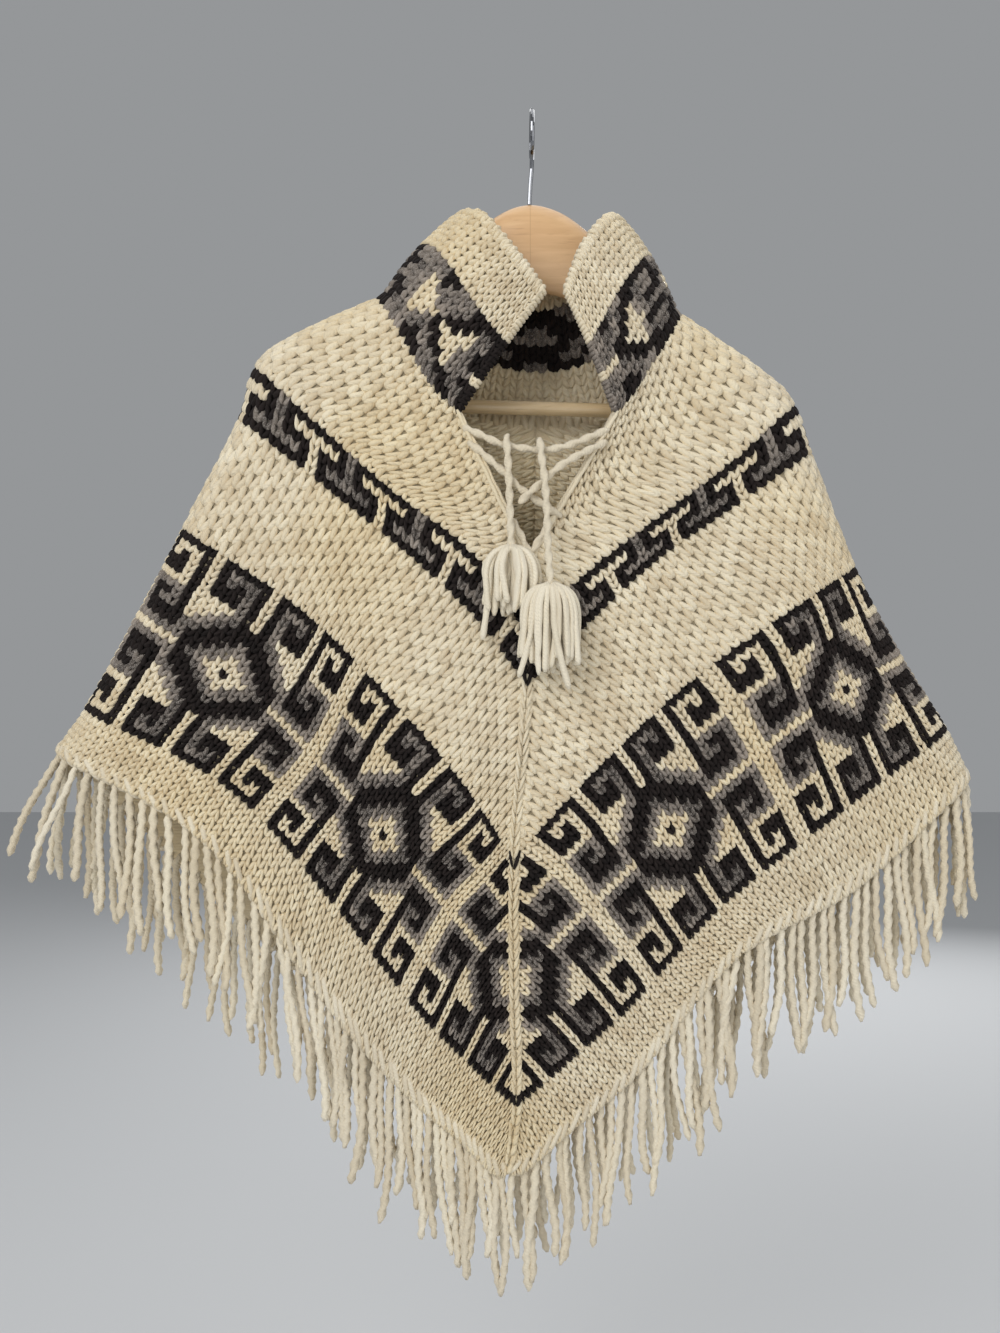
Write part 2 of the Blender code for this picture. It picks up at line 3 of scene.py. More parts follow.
import bpy
import numpy as np
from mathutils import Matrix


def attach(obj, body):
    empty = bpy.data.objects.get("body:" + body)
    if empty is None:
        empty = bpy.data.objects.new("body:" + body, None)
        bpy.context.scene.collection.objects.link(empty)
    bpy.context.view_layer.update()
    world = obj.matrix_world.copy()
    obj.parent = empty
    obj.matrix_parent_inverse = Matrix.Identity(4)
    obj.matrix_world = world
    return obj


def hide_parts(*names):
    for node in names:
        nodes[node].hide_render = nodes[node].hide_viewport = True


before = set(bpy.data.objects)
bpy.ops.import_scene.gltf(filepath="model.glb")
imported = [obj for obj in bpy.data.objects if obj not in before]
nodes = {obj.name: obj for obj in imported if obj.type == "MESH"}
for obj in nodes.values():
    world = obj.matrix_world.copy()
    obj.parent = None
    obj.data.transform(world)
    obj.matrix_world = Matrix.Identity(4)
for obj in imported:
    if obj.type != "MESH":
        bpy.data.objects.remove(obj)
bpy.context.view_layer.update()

mm = 0.001
scene = bpy.context.scene


# camera at the picture's place, level, straight before the garment
view = {"place": (-0.027, -1.05, -0.469), "pictureHeight": 1.133, "sensor": 36.0}


def addCamera():
    data = bpy.data.cameras.new("frontView")
    data.sensor_fit = "VERTICAL"
    data.sensor_height = view["sensor"]
    data.lens = view["sensor"] * abs(view["place"][1]) / view["pictureHeight"]
    data.clip_start = 0.05
    camera = bpy.data.objects.new("frontView", data)
    camera.location = view["place"]
    camera.rotation_euler = (math.radians(90), 0, 0)
    scene.collection.objects.link(camera)
    scene.camera = camera


addCamera()
print("camera placed")


# mesh building: points, quads and per-point facts are piled up, then turned into one mesh
def newPile():
    return {"points": [], "faces": [], "finish": [], "tone": [], "yarn": [], "count": 0}


def addToPile(pile, points, faces, finish=0, tone=0.5, yarn=None):
    points = np.asarray(points, float).reshape(-1, 3)
    faces = np.asarray(faces, int).reshape(-1, 4)
    pile["points"].append(points)
    pile["faces"].append(faces + pile["count"])
    pile["finish"].append(np.broadcast_to(np.asarray(finish, int), (len(faces),)))
    pile["tone"].append(np.broadcast_to(np.asarray(tone, float), (len(points),)))
    yarn = np.zeros((len(points), 2)) if yarn is None else yarn
    pile["yarn"].append(np.asarray(yarn, float).reshape(-1, 2))
    pile["count"] += len(points)


def meshFromPile(name, pile, materials, replaced=None):
    points = np.concatenate(pile["points"])
    faces = np.concatenate(pile["faces"])
    mesh = bpy.data.meshes.new(name)
    mesh.vertices.add(len(points))
    mesh.vertices.foreach_set("co", points.ravel())
    mesh.loops.add(faces.size)
    mesh.loops.foreach_set("vertex_index", faces.ravel())
    mesh.polygons.add(len(faces))
    mesh.polygons.foreach_set("loop_start", np.arange(0, faces.size, 4))
    mesh.polygons.foreach_set("material_index", np.concatenate(pile["finish"]))
    mesh.polygons.foreach_set("use_smooth", np.full(len(faces), True))
    mesh.update(calc_edges=True)
    tone = mesh.attributes.new("stitchTone", "FLOAT", "POINT")
    tone.data.foreach_set("value", np.concatenate(pile["tone"]))
    yarn = mesh.uv_layers.new(name="yarn")
    yarn.data.foreach_set("uv", np.concatenate(pile["yarn"])[faces.ravel()].ravel())
    for material in materials:
        mesh.materials.append(material)
    obj = bpy.data.objects.new(name, mesh)
    scene.collection.objects.link(obj)
    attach(obj, "root")
    if replaced:
        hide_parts(replaced)
    print(name, 2 * len(faces), "triangles")
    return obj


def nodeOf(name):
    # the piece fringeLeftBack stands for the node fringe_left_back
    return "".join("_" + letter.lower() if letter.isupper() else letter for letter in name)


def gridFaces(rows, columns, closed=False, flip=False):
    i = np.arange(rows - 1)[:, None]
    j = np.arange(columns if closed else columns - 1)[None, :]
    after = (j + 1) % columns
    faces = np.stack((i * columns + j, i * columns + after,
                      (i + 1) * columns + after, (i + 1) * columns + j), axis=-1).reshape(-1, 4)
    return faces[:, ::-1] if flip else faces


def unit(vectors):
    return vectors / np.maximum(np.linalg.norm(vectors, axis=-1, keepdims=True), 1e-12)


# shader node helpers
def feed(tree, made, inputs):
    # an input is either a socket to be linked or a fixed value
    for key, value in inputs.items():
        if isinstance(value, bpy.types.NodeSocket):
            tree.links.new(value, made.inputs[key])
        else:
            made.inputs[key].default_value = value


def node(tree, kind, settings=None, inputs=None):
    made = tree.nodes.new(kind)
    for key, value in (settings or {}).items():
        setattr(made, key, value)
    feed(tree, made, inputs or {})
    return made


def mixColours(tree, factor, first, second, blend="MIX"):
    return node(tree, "ShaderNodeMix", {"data_type": "RGBA", "blend_type": blend},
                {0: factor, 6: first, 7: second}).outputs[2]


def mathStep(tree, operation, first, second=0.0, clamp=False):
    return node(tree, "ShaderNodeMath", {"operation": operation, "use_clamp": clamp},
                {0: first, 1: second}).outputs[0]


def remap(tree, value, given=(0.0, 1.0), wanted=(0.0, 1.0)):
    return node(tree, "ShaderNodeMapRange", inputs={
        "Value": value, "From Min": given[0], "From Max": given[1], "To Min": wanted[0],
        "To Max": wanted[1]}).outputs[0]


def bumpNormal(tree, height, strength, distance):
    return node(tree, "ShaderNodeBump", inputs={
        "Height": height, "Strength": strength, "Distance": distance}).outputs[0]


def noiseAt(tree, place, scale, detail, roughness=0.5, distortion=0.0):
    return node(tree, "ShaderNodeTexNoise", inputs={
        "Vector": place, "Scale": scale, "Detail": detail, "Roughness": roughness,
        "Distortion": distortion}).outputs[0]


def newGroup(name, inputs, outputs):
    group = bpy.data.node_groups.new(name, "ShaderNodeTree")
    for label, kind, value in inputs:
        socket = group.interface.new_socket(name=label, in_out="INPUT", socket_type=kind)
        socket.default_value = value
    for label, kind in outputs:
        group.interface.new_socket(name=label, in_out="OUTPUT", socket_type=kind)
    return group, group.nodes.new("NodeGroupInput").outputs, group.nodes.new("NodeGroupOutput").inputs


def placeGroup(tree, group, values):
    return node(tree, "ShaderNodeGroup", {"node_tree": group}, values).outputs


def newMaterial(name, shown=(0.8, 0.8, 0.8, 1)):
    material = bpy.data.materials.new(name)
    material.use_nodes = True
    material.diffuse_color = shown
    tree = material.node_tree
    return material, tree, tree.nodes["Principled BSDF"]


def buildYarnFibres():
    # twisted plies along the yarn's own UV, loose fibres and thick-and-thin colour in object space
    number = "NodeSocketFloat"
    group, given, out = newGroup(
        "yarnFibres",
        (("Ply Turns", number, 1.0), ("Ply Slant", number, 1.0), ("Fibre Size", number, 900.0),
         ("Blotch Size", number, 22.0), ("Patch Size", number, 5.0), ("Stitch Share", number, 0.5)),
        (("Shade", number), ("Fleck", number), ("Height", number), ("Yellowing", number)))
    uv = node(group, "ShaderNodeUVMap", {"uv_map": "yarn"})
    parts = node(group, "ShaderNodeSeparateXYZ", inputs={0: uv.outputs[0]})
    along = mathStep(group, "MULTIPLY", parts.outputs[1], given["Ply Turns"])
    across = mathStep(group, "MULTIPLY", parts.outputs[0], given["Ply Slant"])
    turned = mathStep(group, "ADD", along, across)
    wave = mathStep(group, "SINE", mathStep(group, "MULTIPLY", turned, 2 * math.pi))
    ply = mathStep(group, "ABSOLUTE", wave)
    place = node(group, "ShaderNodeTexCoord").outputs["Object"]
    fibre = noiseAt(group, place, given["Fibre Size"], 2.0, roughness=0.6)
    hair = noiseAt(group, place, given["Fibre Size"], 1.0, distortion=2.5)
    blotch = noiseAt(group, place, given["Blotch Size"], 3.0)
    tone = node(group, "ShaderNodeAttribute", {"attribute_name": "stitchTone"})
    rest = mathStep(group, "SUBTRACT", 1.0, given["Stitch Share"])
    shade = mathStep(group, "ADD", mathStep(group, "MULTIPLY", blotch, rest),
                     mathStep(group, "MULTIPLY", tone.outputs["Fac"], given["Stitch Share"]), True)
    height = mathStep(group, "ADD", mathStep(group, "MULTIPLY", ply, 0.55),
                      mathStep(group, "MULTIPLY", fibre, 0.45))
    yellowing = noiseAt(group, place, given["Patch Size"], 1.0)
    for label, value in (("Shade", shade), ("Fleck", hair), ("Height", height), ("Yellowing", yellowing)):
        group.links.new(value, out[label])
    return group


yarnFibres = buildYarnFibres()

# colours are linear; light and deep are the two ends of the wool's own variation
woolColumns = ("light", "deep", "fleck", "fleckShare", "toneShare", "sheen", "aged", "blotch")
wools = {
    "creamWool": ((0.86, 0.77, 0.585, 1), (0.68, 0.57, 0.395, 1), (0.47, 0.38, 0.25, 1),
                  0.16, 0.5, 0.18, 0.42, 22),
    "greyWool": ((0.31, 0.258, 0.21, 1), (0.042, 0.0315, 0.026, 1), (0.40, 0.36, 0.32, 1),
                 0.9, 0.62, 0.06, 0, 130),
    "darkWool": ((0.018, 0.0125, 0.011, 1), (0.007, 0.005, 0.0045, 1), (0.055, 0.042, 0.037, 1),
                 0.25, 0.5, 0.02, 0, 60),
    # paintedShadeWool is painted shade: cream darkened to stand for the shade in the gaps between stitches
    "paintedShadeWool": ((0.64, 0.55, 0.385, 1), (0.50, 0.415, 0.275, 1), (0.24, 0.18, 0.11, 1),
                0.2, 0.3, 0, 0.3, 22),
    "fringeWool": ((0.84, 0.765, 0.61, 1), (0.66, 0.57, 0.42, 1), (0.55, 0.46, 0.34, 1),
                   0.14, 0.6, 0.2, 0.15, 22),
}
woolLook = {"roughness": (0.82, 0.98), "bump": 0.5, "bumpDepth": 1 * mm, "plyTurns": 1.0, "plySlant": 0.8,
            "sheenRoughness": 0.5, "specular": 0.2, "agedTint": (0.97, 0.88, 0.66, 1),
            "shadeRange": (0.25, 0.75), "agedRange": (0.42, 0.62), "fleckRange": (0.48, 0.64)}


def makeWool(name, row):
    look = dict(zip(woolColumns, row))
    material, tree, shader = newMaterial(name, look["light"])
    fibres = placeGroup(tree, yarnFibres, {
        "Ply Turns": woolLook["plyTurns"], "Ply Slant": woolLook["plySlant"],
        "Stitch Share": look["toneShare"], "Blotch Size": look["blotch"]})
    shade = remap(tree, fibres["Shade"], woolLook["shadeRange"])
    aged = remap(tree, fibres["Yellowing"], woolLook["agedRange"], (0, look["aged"]))
    fleck = remap(tree, fibres["Fleck"], woolLook["fleckRange"], (0, look["fleckShare"]))
    colour = mixColours(tree, shade, look["deep"], look["light"])
    colour = mixColours(tree, aged, colour, woolLook["agedTint"], "MULTIPLY")
    colour = mixColours(tree, fleck, colour, look["fleck"])
    normal = bumpNormal(tree, fibres["Height"], woolLook["bump"], woolLook["bumpDepth"])
    feed(tree, shader, {
        "Base Color": colour, "Roughness": remap(tree, fibres["Fleck"], wanted=woolLook["roughness"]),
        "Normal": normal, "Sheen Weight": look["sheen"],
        "Sheen Roughness": woolLook["sheenRoughness"], "Specular IOR Level": woolLook["specular"]})
    return material


cream, grey, dark, paintedShade, fringeCream = (makeWool(name, row) for name, row in wools.items())
# the fourth knit finish is the painted shade wool, cream darkened for the gaps between stitches
knitColours = (cream, grey, dark, paintedShade)
print("wool materials made")


# smooth reading of the measured tables
def smoothAt(keys, values, places):
    # values (n, k, d), places (n, m); gives (n, m, d)
    keys = np.asarray(keys, float)
    count = len(keys)
    before = np.maximum(np.arange(count) - 1, 0)
    after = np.minimum(np.arange(count) + 1, count - 1)
    slopes = (values[:, after] - values[:, before]) / (keys[after] - keys[before])[None, :, None]
    index = np.clip(np.searchsorted(keys, places) - 1, 0, count - 2)
    width = (keys[index + 1] - keys[index])[..., None]
    part = (places - keys[index])[..., None] / width
    line = np.arange(len(values))[:, None]
    rise = 3 * part ** 2 - 2 * part ** 3
    startPull = part ** 3 - 2 * part ** 2 + part
    endPull = part ** 3 - part ** 2
    return ((1 - rise) * values[line, index] + rise * values[line, index + 1]
            + width * (startPull * slopes[line, index] + endPull * slopes[line, index + 1]))


def readColumn(keys, values, places):
    return smoothAt(keys, np.asarray(values, float)[None], np.asarray(places, float)[None])[0]


# the two mitred panels; rows run from the collar seam to the hem, each line has five points
# (x, depth, z) in mm from the side fold to the centre line
cloth = {"rows": 70.0, "slitRows": 12.5, "thickness": 5 * mm, "foldTurn": 38 * mm, "arcPerChord": 1.06,
         "rowKeys": (0, 17, 70), "stitchKeys": (16, 33.4, 79.5), "fineRows": 281, "fineHalf": 240,
         "tipFirstRow": 57, "tipWidth": 20 * mm, "tipDrop": 10 * mm, "hemHalf": 540 * mm}

leftFront = (
    (0, (-129, -20, -158), (-112, -34, -186), (-96, -44, -215), (-78, -50, -244), (-58, -52, -264)),
    (12.5, (-205, -22, -193), (-153, -36, -246), (-107, -44, -297), (-55, -50, -339), (-3, -52, -379)),
    (18, (-232, -22, -215), (-172, -36, -272), (-116, -44, -323), (-54, -51, -371), (-4, -54, -431)),
    (23, (-246, -22, -259), (-174, -36, -317), (-110, -45, -369), (-52, -51, -422), (-5, -54, -482)),
    (38, (-293, -22, -351), (-196, -38, -416), (-131, -46, -476), (-61, -52, -555), (-16, -56, -621)),
    (50.5, (-331, -21, -423), (-222, -42, -497), (-145, -44, -578), (-78, -52, -652), (-16, -57, -722)),
    (63, (-376, -20, -504), (-251, -48, -564), (-159, -38, -666), (-82, -48, -760), (-14, -56, -819)),
    (70, (-401, -19, -540), (-266, -54, -609), (-168, -32, -748), (-89, -46, -828), (-21, -54, -874)),
)
rightFront = (
    (0, (124, -20, -171), (109, -34, -199), (95, -44, -221), (80, -50, -246), (65, -52, -265)),
    (12.5, (196, -22, -222), (135, -36, -270), (84, -44, -309), (39, -50, -344), (-3, -52, -379)),
    (18, (220, -22, -247), (159, -36, -302), (104, -44, -344), (49, -51, -386), (-4, -54, -433)),
    (23, (234, -22, -287), (164, -36, -337), (102, -45, -380), (47, -51, -430), (-5, -54, -482)),
    (38, (270, -22, -383), (218, -38, -416), (127, -46, -480), (57, -52, -544), (-16, -56, -621)),
    (50.5, (310, -22, -460), (232, -36, -501), (140, -46, -575), (59, -50, -648), (-16, -57, -722)),
    (63, (348, -22, -521), (250, -32, -589), (150, -52, -664), (72, -42, -751), (-14, -56, -819)),
    (70, (368, -20, -562), (268, -30, -649), (164, -54, -703), (78, -40, -807), (-21, -54, -874)),
)
leftBack = (
    (0, (-129, 18, -158), (-107, 24, -194), (-79, 28, -232), (-43, 30, -254), (4, 30, -261)),
    (12.5, (-205, 20, -193), (-158, 27, -239), (-104, 30, -287), (-52, 31, -334), (2, 31, -376)),
    (38, (-293, 20, -351), (-228, 28, -420), (-157, 31, -492), (-84, 32, -564), (-8, 32, -611)),
    (70, (-401, 18, -540), (-319, 28, -628), (-220, 34, -719), (-119, 29, -808), (-18, 32, -884)),
)
rightBack = (
    (0, (124, 18, -171), (108, 24, -201), (85, 28, -233), (52, 30, -256), (4, 30, -261)),
    (12.5, (196, 20, -222), (152, 27, -259), (104, 30, -301), (54, 31, -341), (2, 31, -376)),
    (38, (270, 20, -383), (209, 28, -446), (139, 31, -499), (68, 32, -558), (-8, 32, -611)),
    (70, (368, 18, -562), (278, 27, -652), (181, 34, -733), (82, 29, -810), (-18, 32, -884)),
)


def tableKnots(table, rows):
    keys = np.array([line[0] for line in table], float)
    values = np.array([line[1:] for line in table], float) * mm
    knots = np.stack([readColumn(keys, values[:, place], rows) for place in range(5)], axis=1)
    if cloth["slitRows"] in keys and table in (leftFront, rightFront):
        foot = list(keys).index(cloth["slitRows"])
        below = rows >= cloth["slitRows"]
        if below.any():
            knots[below, 4] = readColumn(keys[foot:], values[foot:, 4], rows[below])
        if (~below).any():
            knots[~below, 4] = readColumn(keys[:foot + 1], values[:foot + 1, 4], rows[~below])
    return knots


def halfPanel(table, foldTable, rows, shares):
    across = tableKnots(table, rows)
    fold = tableKnots(foldTable, rows)[:, 0]
    across[:, 0, 0], across[:, 0, 2] = fold[:, 0], fold[:, 2]
    chord = across[:, 4] - across[:, 0]
    reach = cloth["foldTurn"] / (np.hypot(chord[:, 0], chord[:, 2]) * cloth["arcPerChord"])
    saved = (reach * (1 - 2 / math.pi))[:, None]
    reach = reach[:, None]
    turn = 0.5 * math.pi * np.minimum(shares[None] / reach, 1)
    sideways = np.where(shares[None] < reach, reach * 2 / math.pi * (1 - np.cos(turn)), shares[None] - saved)
    points = smoothAt((0, 0.25, 0.5, 0.75, 1), across, sideways / (1 - saved))
    points[..., 1] *= np.sin(turn)
    return points


# each line is (first row, first column, last row, last column, half width in mm, height in mm)
# columns run -1 at the centre front, 0 at the side fold, 1 at the centre back
leftCreases = (
    (14, -0.62, 40, -0.42, 26, -1.6), (30, -0.30, 69, -0.34, 30, -2.4), (40, -0.55, 70, -0.60, 26, 2.2),
    (44, -0.78, 70, -0.84, 24, -1.8), (4, -0.30, 22, -0.16, 20, 1.6), (20, -0.82, 36, -0.80, 24, 1.2),
    (25, 0.25, 70, 0.32, 34, 2.0), (30, 0.55, 70, 0.62, 32, -2.2), (10, 0.75, 40, 0.8, 26, 1.4),
)
rightCreases = (
    (12, -0.60, 38, -0.44, 26, -1.5), (28, -0.26, 70, -0.30, 30, 1.8), (42, -0.48, 70, -0.52, 26, -2.2),
    (46, -0.72, 70, -0.76, 24, 2.0), (5, -0.26, 24, -0.14, 20, 1.5), (22, -0.84, 38, -0.78, 24, -1.2),
    (22, 0.28, 70, 0.34, 34, -2.0), (34, 0.58, 70, 0.66, 32, 2.2), (8, 0.7, 36, 0.76, 26, -1.4),
)


# a half panel is topHalf mm wide at the collar and wider by widening mm each row
crease = {"topHalf": 118, "widening": 5.6, "lead": 8, "fade": 12}


def surfaceNormals(points, facing):
    down, across = np.gradient(points, axis=0), np.gradient(points, axis=1)
    return unit(np.cross(across, down) * facing)


def fineCloth(frontTable, backTable, creases, side):
    rows = np.linspace(0, cloth["rows"], cloth["fineRows"])
    columns = np.linspace(-1, 1, 2 * cloth["fineHalf"] + 1)
    front = halfPanel(frontTable, frontTable, rows, -columns[:cloth["fineHalf"] + 1])
    back = halfPanel(backTable, frontTable, rows, columns[cloth["fineHalf"] + 1:])
    points = np.concatenate((front, back), axis=1)
    normals = surfaceNormals(points, -side)
    rowGrid, columnGrid = np.meshgrid(rows, columns, indexing="ij")
    for firstRow, firstColumn, lastRow, lastColumn, width, height in creases:
        along = np.clip((rowGrid - firstRow) / (lastRow - firstRow), 0, 1)
        centre = firstColumn + (lastColumn - firstColumn) * along
        fadeIn = np.clip((rowGrid - firstRow + crease["lead"]) / crease["fade"], 0, 1)
        fadeOut = np.clip((lastRow + crease["lead"] - rowGrid) / crease["fade"], 0, 1)
        away = (columnGrid - centre) * (crease["topHalf"] + crease["widening"] * rowGrid)
        points = points + normals * (height * mm * fadeIn * fadeOut * np.exp(-(away / width) ** 2))[..., None]
    # the hem is blunt at the centre front and back
    reach = (1 - np.abs(columnGrid)) * cloth["hemHalf"] / cloth["tipWidth"]
    late = np.clip((rowGrid - cloth["tipFirstRow"]) / (cloth["rows"] - cloth["tipFirstRow"]), 0, 1)
    points[..., 2] -= cloth["tipDrop"] * reach * np.exp(1 - reach) * late ** 2
    return {"points": points, "normals": surfaceNormals(points, -side), "rows": cloth["rows"], "side": side}


def readCloth(sheet, rows, columns, height=0.0):
    # bilinear reading of a fine sheet, carried on in a straight line past its edges
    points, normals = sheet["points"], sheet["normals"]
    i = np.asarray(rows) / sheet["rows"] * (points.shape[0] - 1)
    j = (np.asarray(columns) + 1) / 2 * (points.shape[1] - 1)
    i0 = np.clip(np.floor(i).astype(int), 0, points.shape[0] - 2)
    j0 = np.clip(np.floor(j).astype(int), 0, points.shape[1] - 2)
    a, b = (i - i0)[..., None], (j - j0)[..., None]

    def blendOf(grid):
        return ((grid[i0, j0] * (1 - b) + grid[i0, j0 + 1] * b) * (1 - a)
                + (grid[i0 + 1, j0] * (1 - b) + grid[i0 + 1, j0 + 1] * b) * a)

    return blendOf(points) + unit(blendOf(normals)) * np.asarray(height)[..., None]


leftCloth = fineCloth(leftFront, leftBack, leftCreases, -1)
rightCloth = fineCloth(rightFront, rightBack, rightCreases, 1)
print("cloth surfaces worked out")


# knitting charts, drawn: C cream, G grey, B near-black
# large diamond fret, 25 rows; the 13 columns run from the cream line between repeats to the middle
largeChart = (
    "CBBBBBCBBBBBC",
    "CBCCCBCBGGGBC",
    "CBCBCBCBGBGBC",
    "CBBBCBCBBBGBC",
    "CBBBCBCBBBGBC",
    "CCCCCBCCCCGBC",
    "CGGGGBCCCGGBB",
    "CGBBGBCCGGBBB",
    "CGBGGBCGGBBBG",
    "CGBBBBGGBBBGG",
    "CGBBBBGBBBGGC",
    "CGGGGGGBBGGCC",
    "CCCCCCCBGGCCB",
)
smallChart = (
    "BBBBGBBB",
    "CCCBGBCC",
    "CBBBGBBB",
    "CBGGGGGB",
    "CBBBBBBB",
)
largeBand = {"firstRow": 38, "rows": 25, "repeat": 25}
smallBand = {"firstRow": 18, "repeat": 8, "shift": 7}
letterFinish = {"C": 0, "G": 1, "B": 2}


def chartFinish(row, wale):
    step = row - largeBand["firstRow"]
    # the last stitch before the centre line is cream; it zigzags a little
    reach = wale + 1.35 + 0.35 * math.sin(row * 1.9)
    if 0 <= step < largeBand["rows"] - 1 and reach > stitchesAcross(row + 0.5):
        return 0
    if 0 <= step < largeBand["rows"]:
        line = largeChart[min(step, largeBand["rows"] - 1 - step)]
        return letterFinish[line[12 - abs(wale % largeBand["repeat"] - 12)]]
    step = row - smallBand["firstRow"]
    if 0 <= step < len(smallChart):
        return letterFinish[smallChart[step][(wale + smallBand["shift"]) % smallBand["repeat"]]]
    return 0


def stitchesAcross(rows):
    return np.interp(rows, cloth["rowKeys"], cloth["stitchKeys"])


# stitches: two plump legs in a V; its rounded tip points to the hem and lies over the next stitch
# pairs are for a stitch one row tall and for a slipped one two rows tall
stitch = {"legTop": (0.45, 0.45), "legTip": (0.095, 0.145), "halfWidth": (1.75 * mm, 2.43 * mm),
          "bow": (1.35, 1.5), "thick": (2.2 * mm, 2.6 * mm), "arch": 2.1 * mm, "overlapTop": (0.12, 0.1),
          "overlapTip": (0.3, 0.39), "width": 7.4 * mm, "height": 6.8 * mm, "sinkTop": 1.6 * mm,
          "sinkTip": 1.4 * mm, "base": -0.7 * mm, "edgeSink": 0.9 * mm,
          "jitter": 0.04, "plumpSpread": 0.07, "leanSpread": 0.02, "toneSpread": 0.22, "seed": 11}
acrossLeg = np.array((-1.0, -0.56, 0.56, 1.0))
crownOfLeg = np.array((0.0, 0.86, 0.86, 0.0))
alongLeg = {4: (0, 0.36, 0.82, 1), 5: (0, 0.26, 0.56, 0.84, 1), 6: (0, 0.2, 0.44, 0.68, 0.88, 1)}


def legShape(rings, tall):
    # offsets (u in stitches, v in rows, height in metres) of a right leg, tall rows long
    q = np.array(alongLeg[rings], float)
    top, tip = stitch["legTop"][tall - 1], stitch["legTip"][tall - 1]
    overlapTop, overlapTip = stitch["overlapTop"][tall - 1], stitch["overlapTip"][tall - 1]
    u = top + (tip - top) * q ** stitch["bow"][tall - 1]
    v = -overlapTop + (tall + overlapTop + overlapTip) * q
    du, dv = np.gradient(u, q) * stitch["width"], np.gradient(v, q) * stitch["height"]
    length = np.hypot(du, dv)
    swell = (0.8 + 0.26 * q) * (1 - 0.55 * np.clip((q - 0.74) / 0.26, 0, 1) ** 2.2)
    halfWidth = stitch["halfWidth"][tall - 1] * swell
    lift = stitch["base"] + stitch["arch"] * np.sin(0.5 * math.pi * np.minimum(q / 0.75, 1))
    lift = lift - stitch["sinkTop"] * (1 - np.minimum(q / 0.25, 1))
    lift = lift - stitch["sinkTip"] * np.clip((q - 0.84) / 0.16, 0, 1) ** 2
    offsetU = (dv / length)[:, None] * acrossLeg[None] * halfWidth[:, None] / stitch["width"]
    offsetV = (-du / length)[:, None] * acrossLeg[None] * halfWidth[:, None] / stitch["height"]
    height = lift[:, None] + crownOfLeg[None] * (stitch["thick"][tall - 1] * swell ** 0.5)[:, None]
    height[:, (0, 3)] -= stitch["edgeSink"]
    return u[:, None] + offsetU, v[:, None] + offsetV, height, np.repeat(q[:, None], 4, axis=1)


def knit(pile, sheet, rows, wales, tall, finish, toColumn, rng, rings=6, inside=0, lift=0.0, legs=(1, -1),
         tone=0.5):
    # rows, wales and finish have one entry per stitch, all of the same height
    u, v, height, q = legShape(rings, tall)
    count = len(rows)
    if not count:
        return
    shake = rng.normal(0, stitch["jitter"], (count, 2, 2))
    plump = 1 + rng.normal(0, stitch["plumpSpread"], (count, 1, 1))
    tones = np.clip(rng.normal(0, stitch["toneSpread"], count) + tone, 0, 1)
    turn = rng.random(count)
    faces = gridFaces(rings, 4)
    for leg, mirrored in enumerate(legs):
        lean = rng.normal(0, stitch["leanSpread"], (count, 1, 1)) * q[None]
        uu = mirrored * u[None] + shake[:, leg, 0][:, None, None] + lean
        vv = v[None] + shake[:, leg, 1][:, None, None]
        hh = height[None] * plump + lift
        row = rows[:, None, None] + vv
        column = toColumn(row, wales[:, None, None] + 0.5 + uu)
        if inside:
            hh = -cloth["thickness"] * inside - hh
        points = readCloth(sheet, row, column, hh)
        flat = points.reshape(-1, 3)
        quads = (faces[None] + (np.arange(count) * rings * 4)[:, None, None]).reshape(-1, 4)
        first = quads[0]
        facing = np.cross(flat[first[1]] - flat[first[0]], flat[first[3]] - flat[first[0]])
        root = row[0, 0, 0], column[0, 0, 0]
        outward = readCloth(sheet, *root, mm) - readCloth(sheet, *root)
        if (np.dot(facing, outward) < 0) != bool(inside):
            quads = quads[:, ::-1]
        yarn = np.stack((np.broadcast_to((acrossLeg + 1) / 2, (count, rings, 4)),
                         np.broadcast_to(q[None] * tall, (count, rings, 4)) + turn[:, None, None]), axis=-1)
        addToPile(pile, flat, quads, np.repeat(finish, len(faces)), np.repeat(tones, rings * 4), yarn)


# smooth or twisted lengths of yarn with rounded ends; lobe is how deep the two plies are parted
strand = {"roughStations": 24, "spacing": 3.9 * mm, "endShares": (0.45, 0.92), "yarnTurn": 6 * mm}


def smoothLine(points, count):
    points = np.asarray(points, float)
    length = np.concatenate(((0,), np.cumsum(np.linalg.norm(np.diff(points, axis=0), axis=1))))
    even = np.linspace(0, length[-1], count)
    return readColumn(length, points, even), length[-1]


def tubeFaces(rings, sides, flip=False):
    # the wall of a tube and a fan of quads over each end
    fan = np.array([(0, 2 * k + 1, 2 * k + 2, 2 * k + 3) for k in range(sides // 2 - 1)])
    ends = (fan, fan[:, ::-1]) if flip else (fan[:, ::-1], fan)
    return np.concatenate((gridFaces(rings, sides, closed=True, flip=flip), ends[0],
                           ends[1] + (rings - 1) * sides))


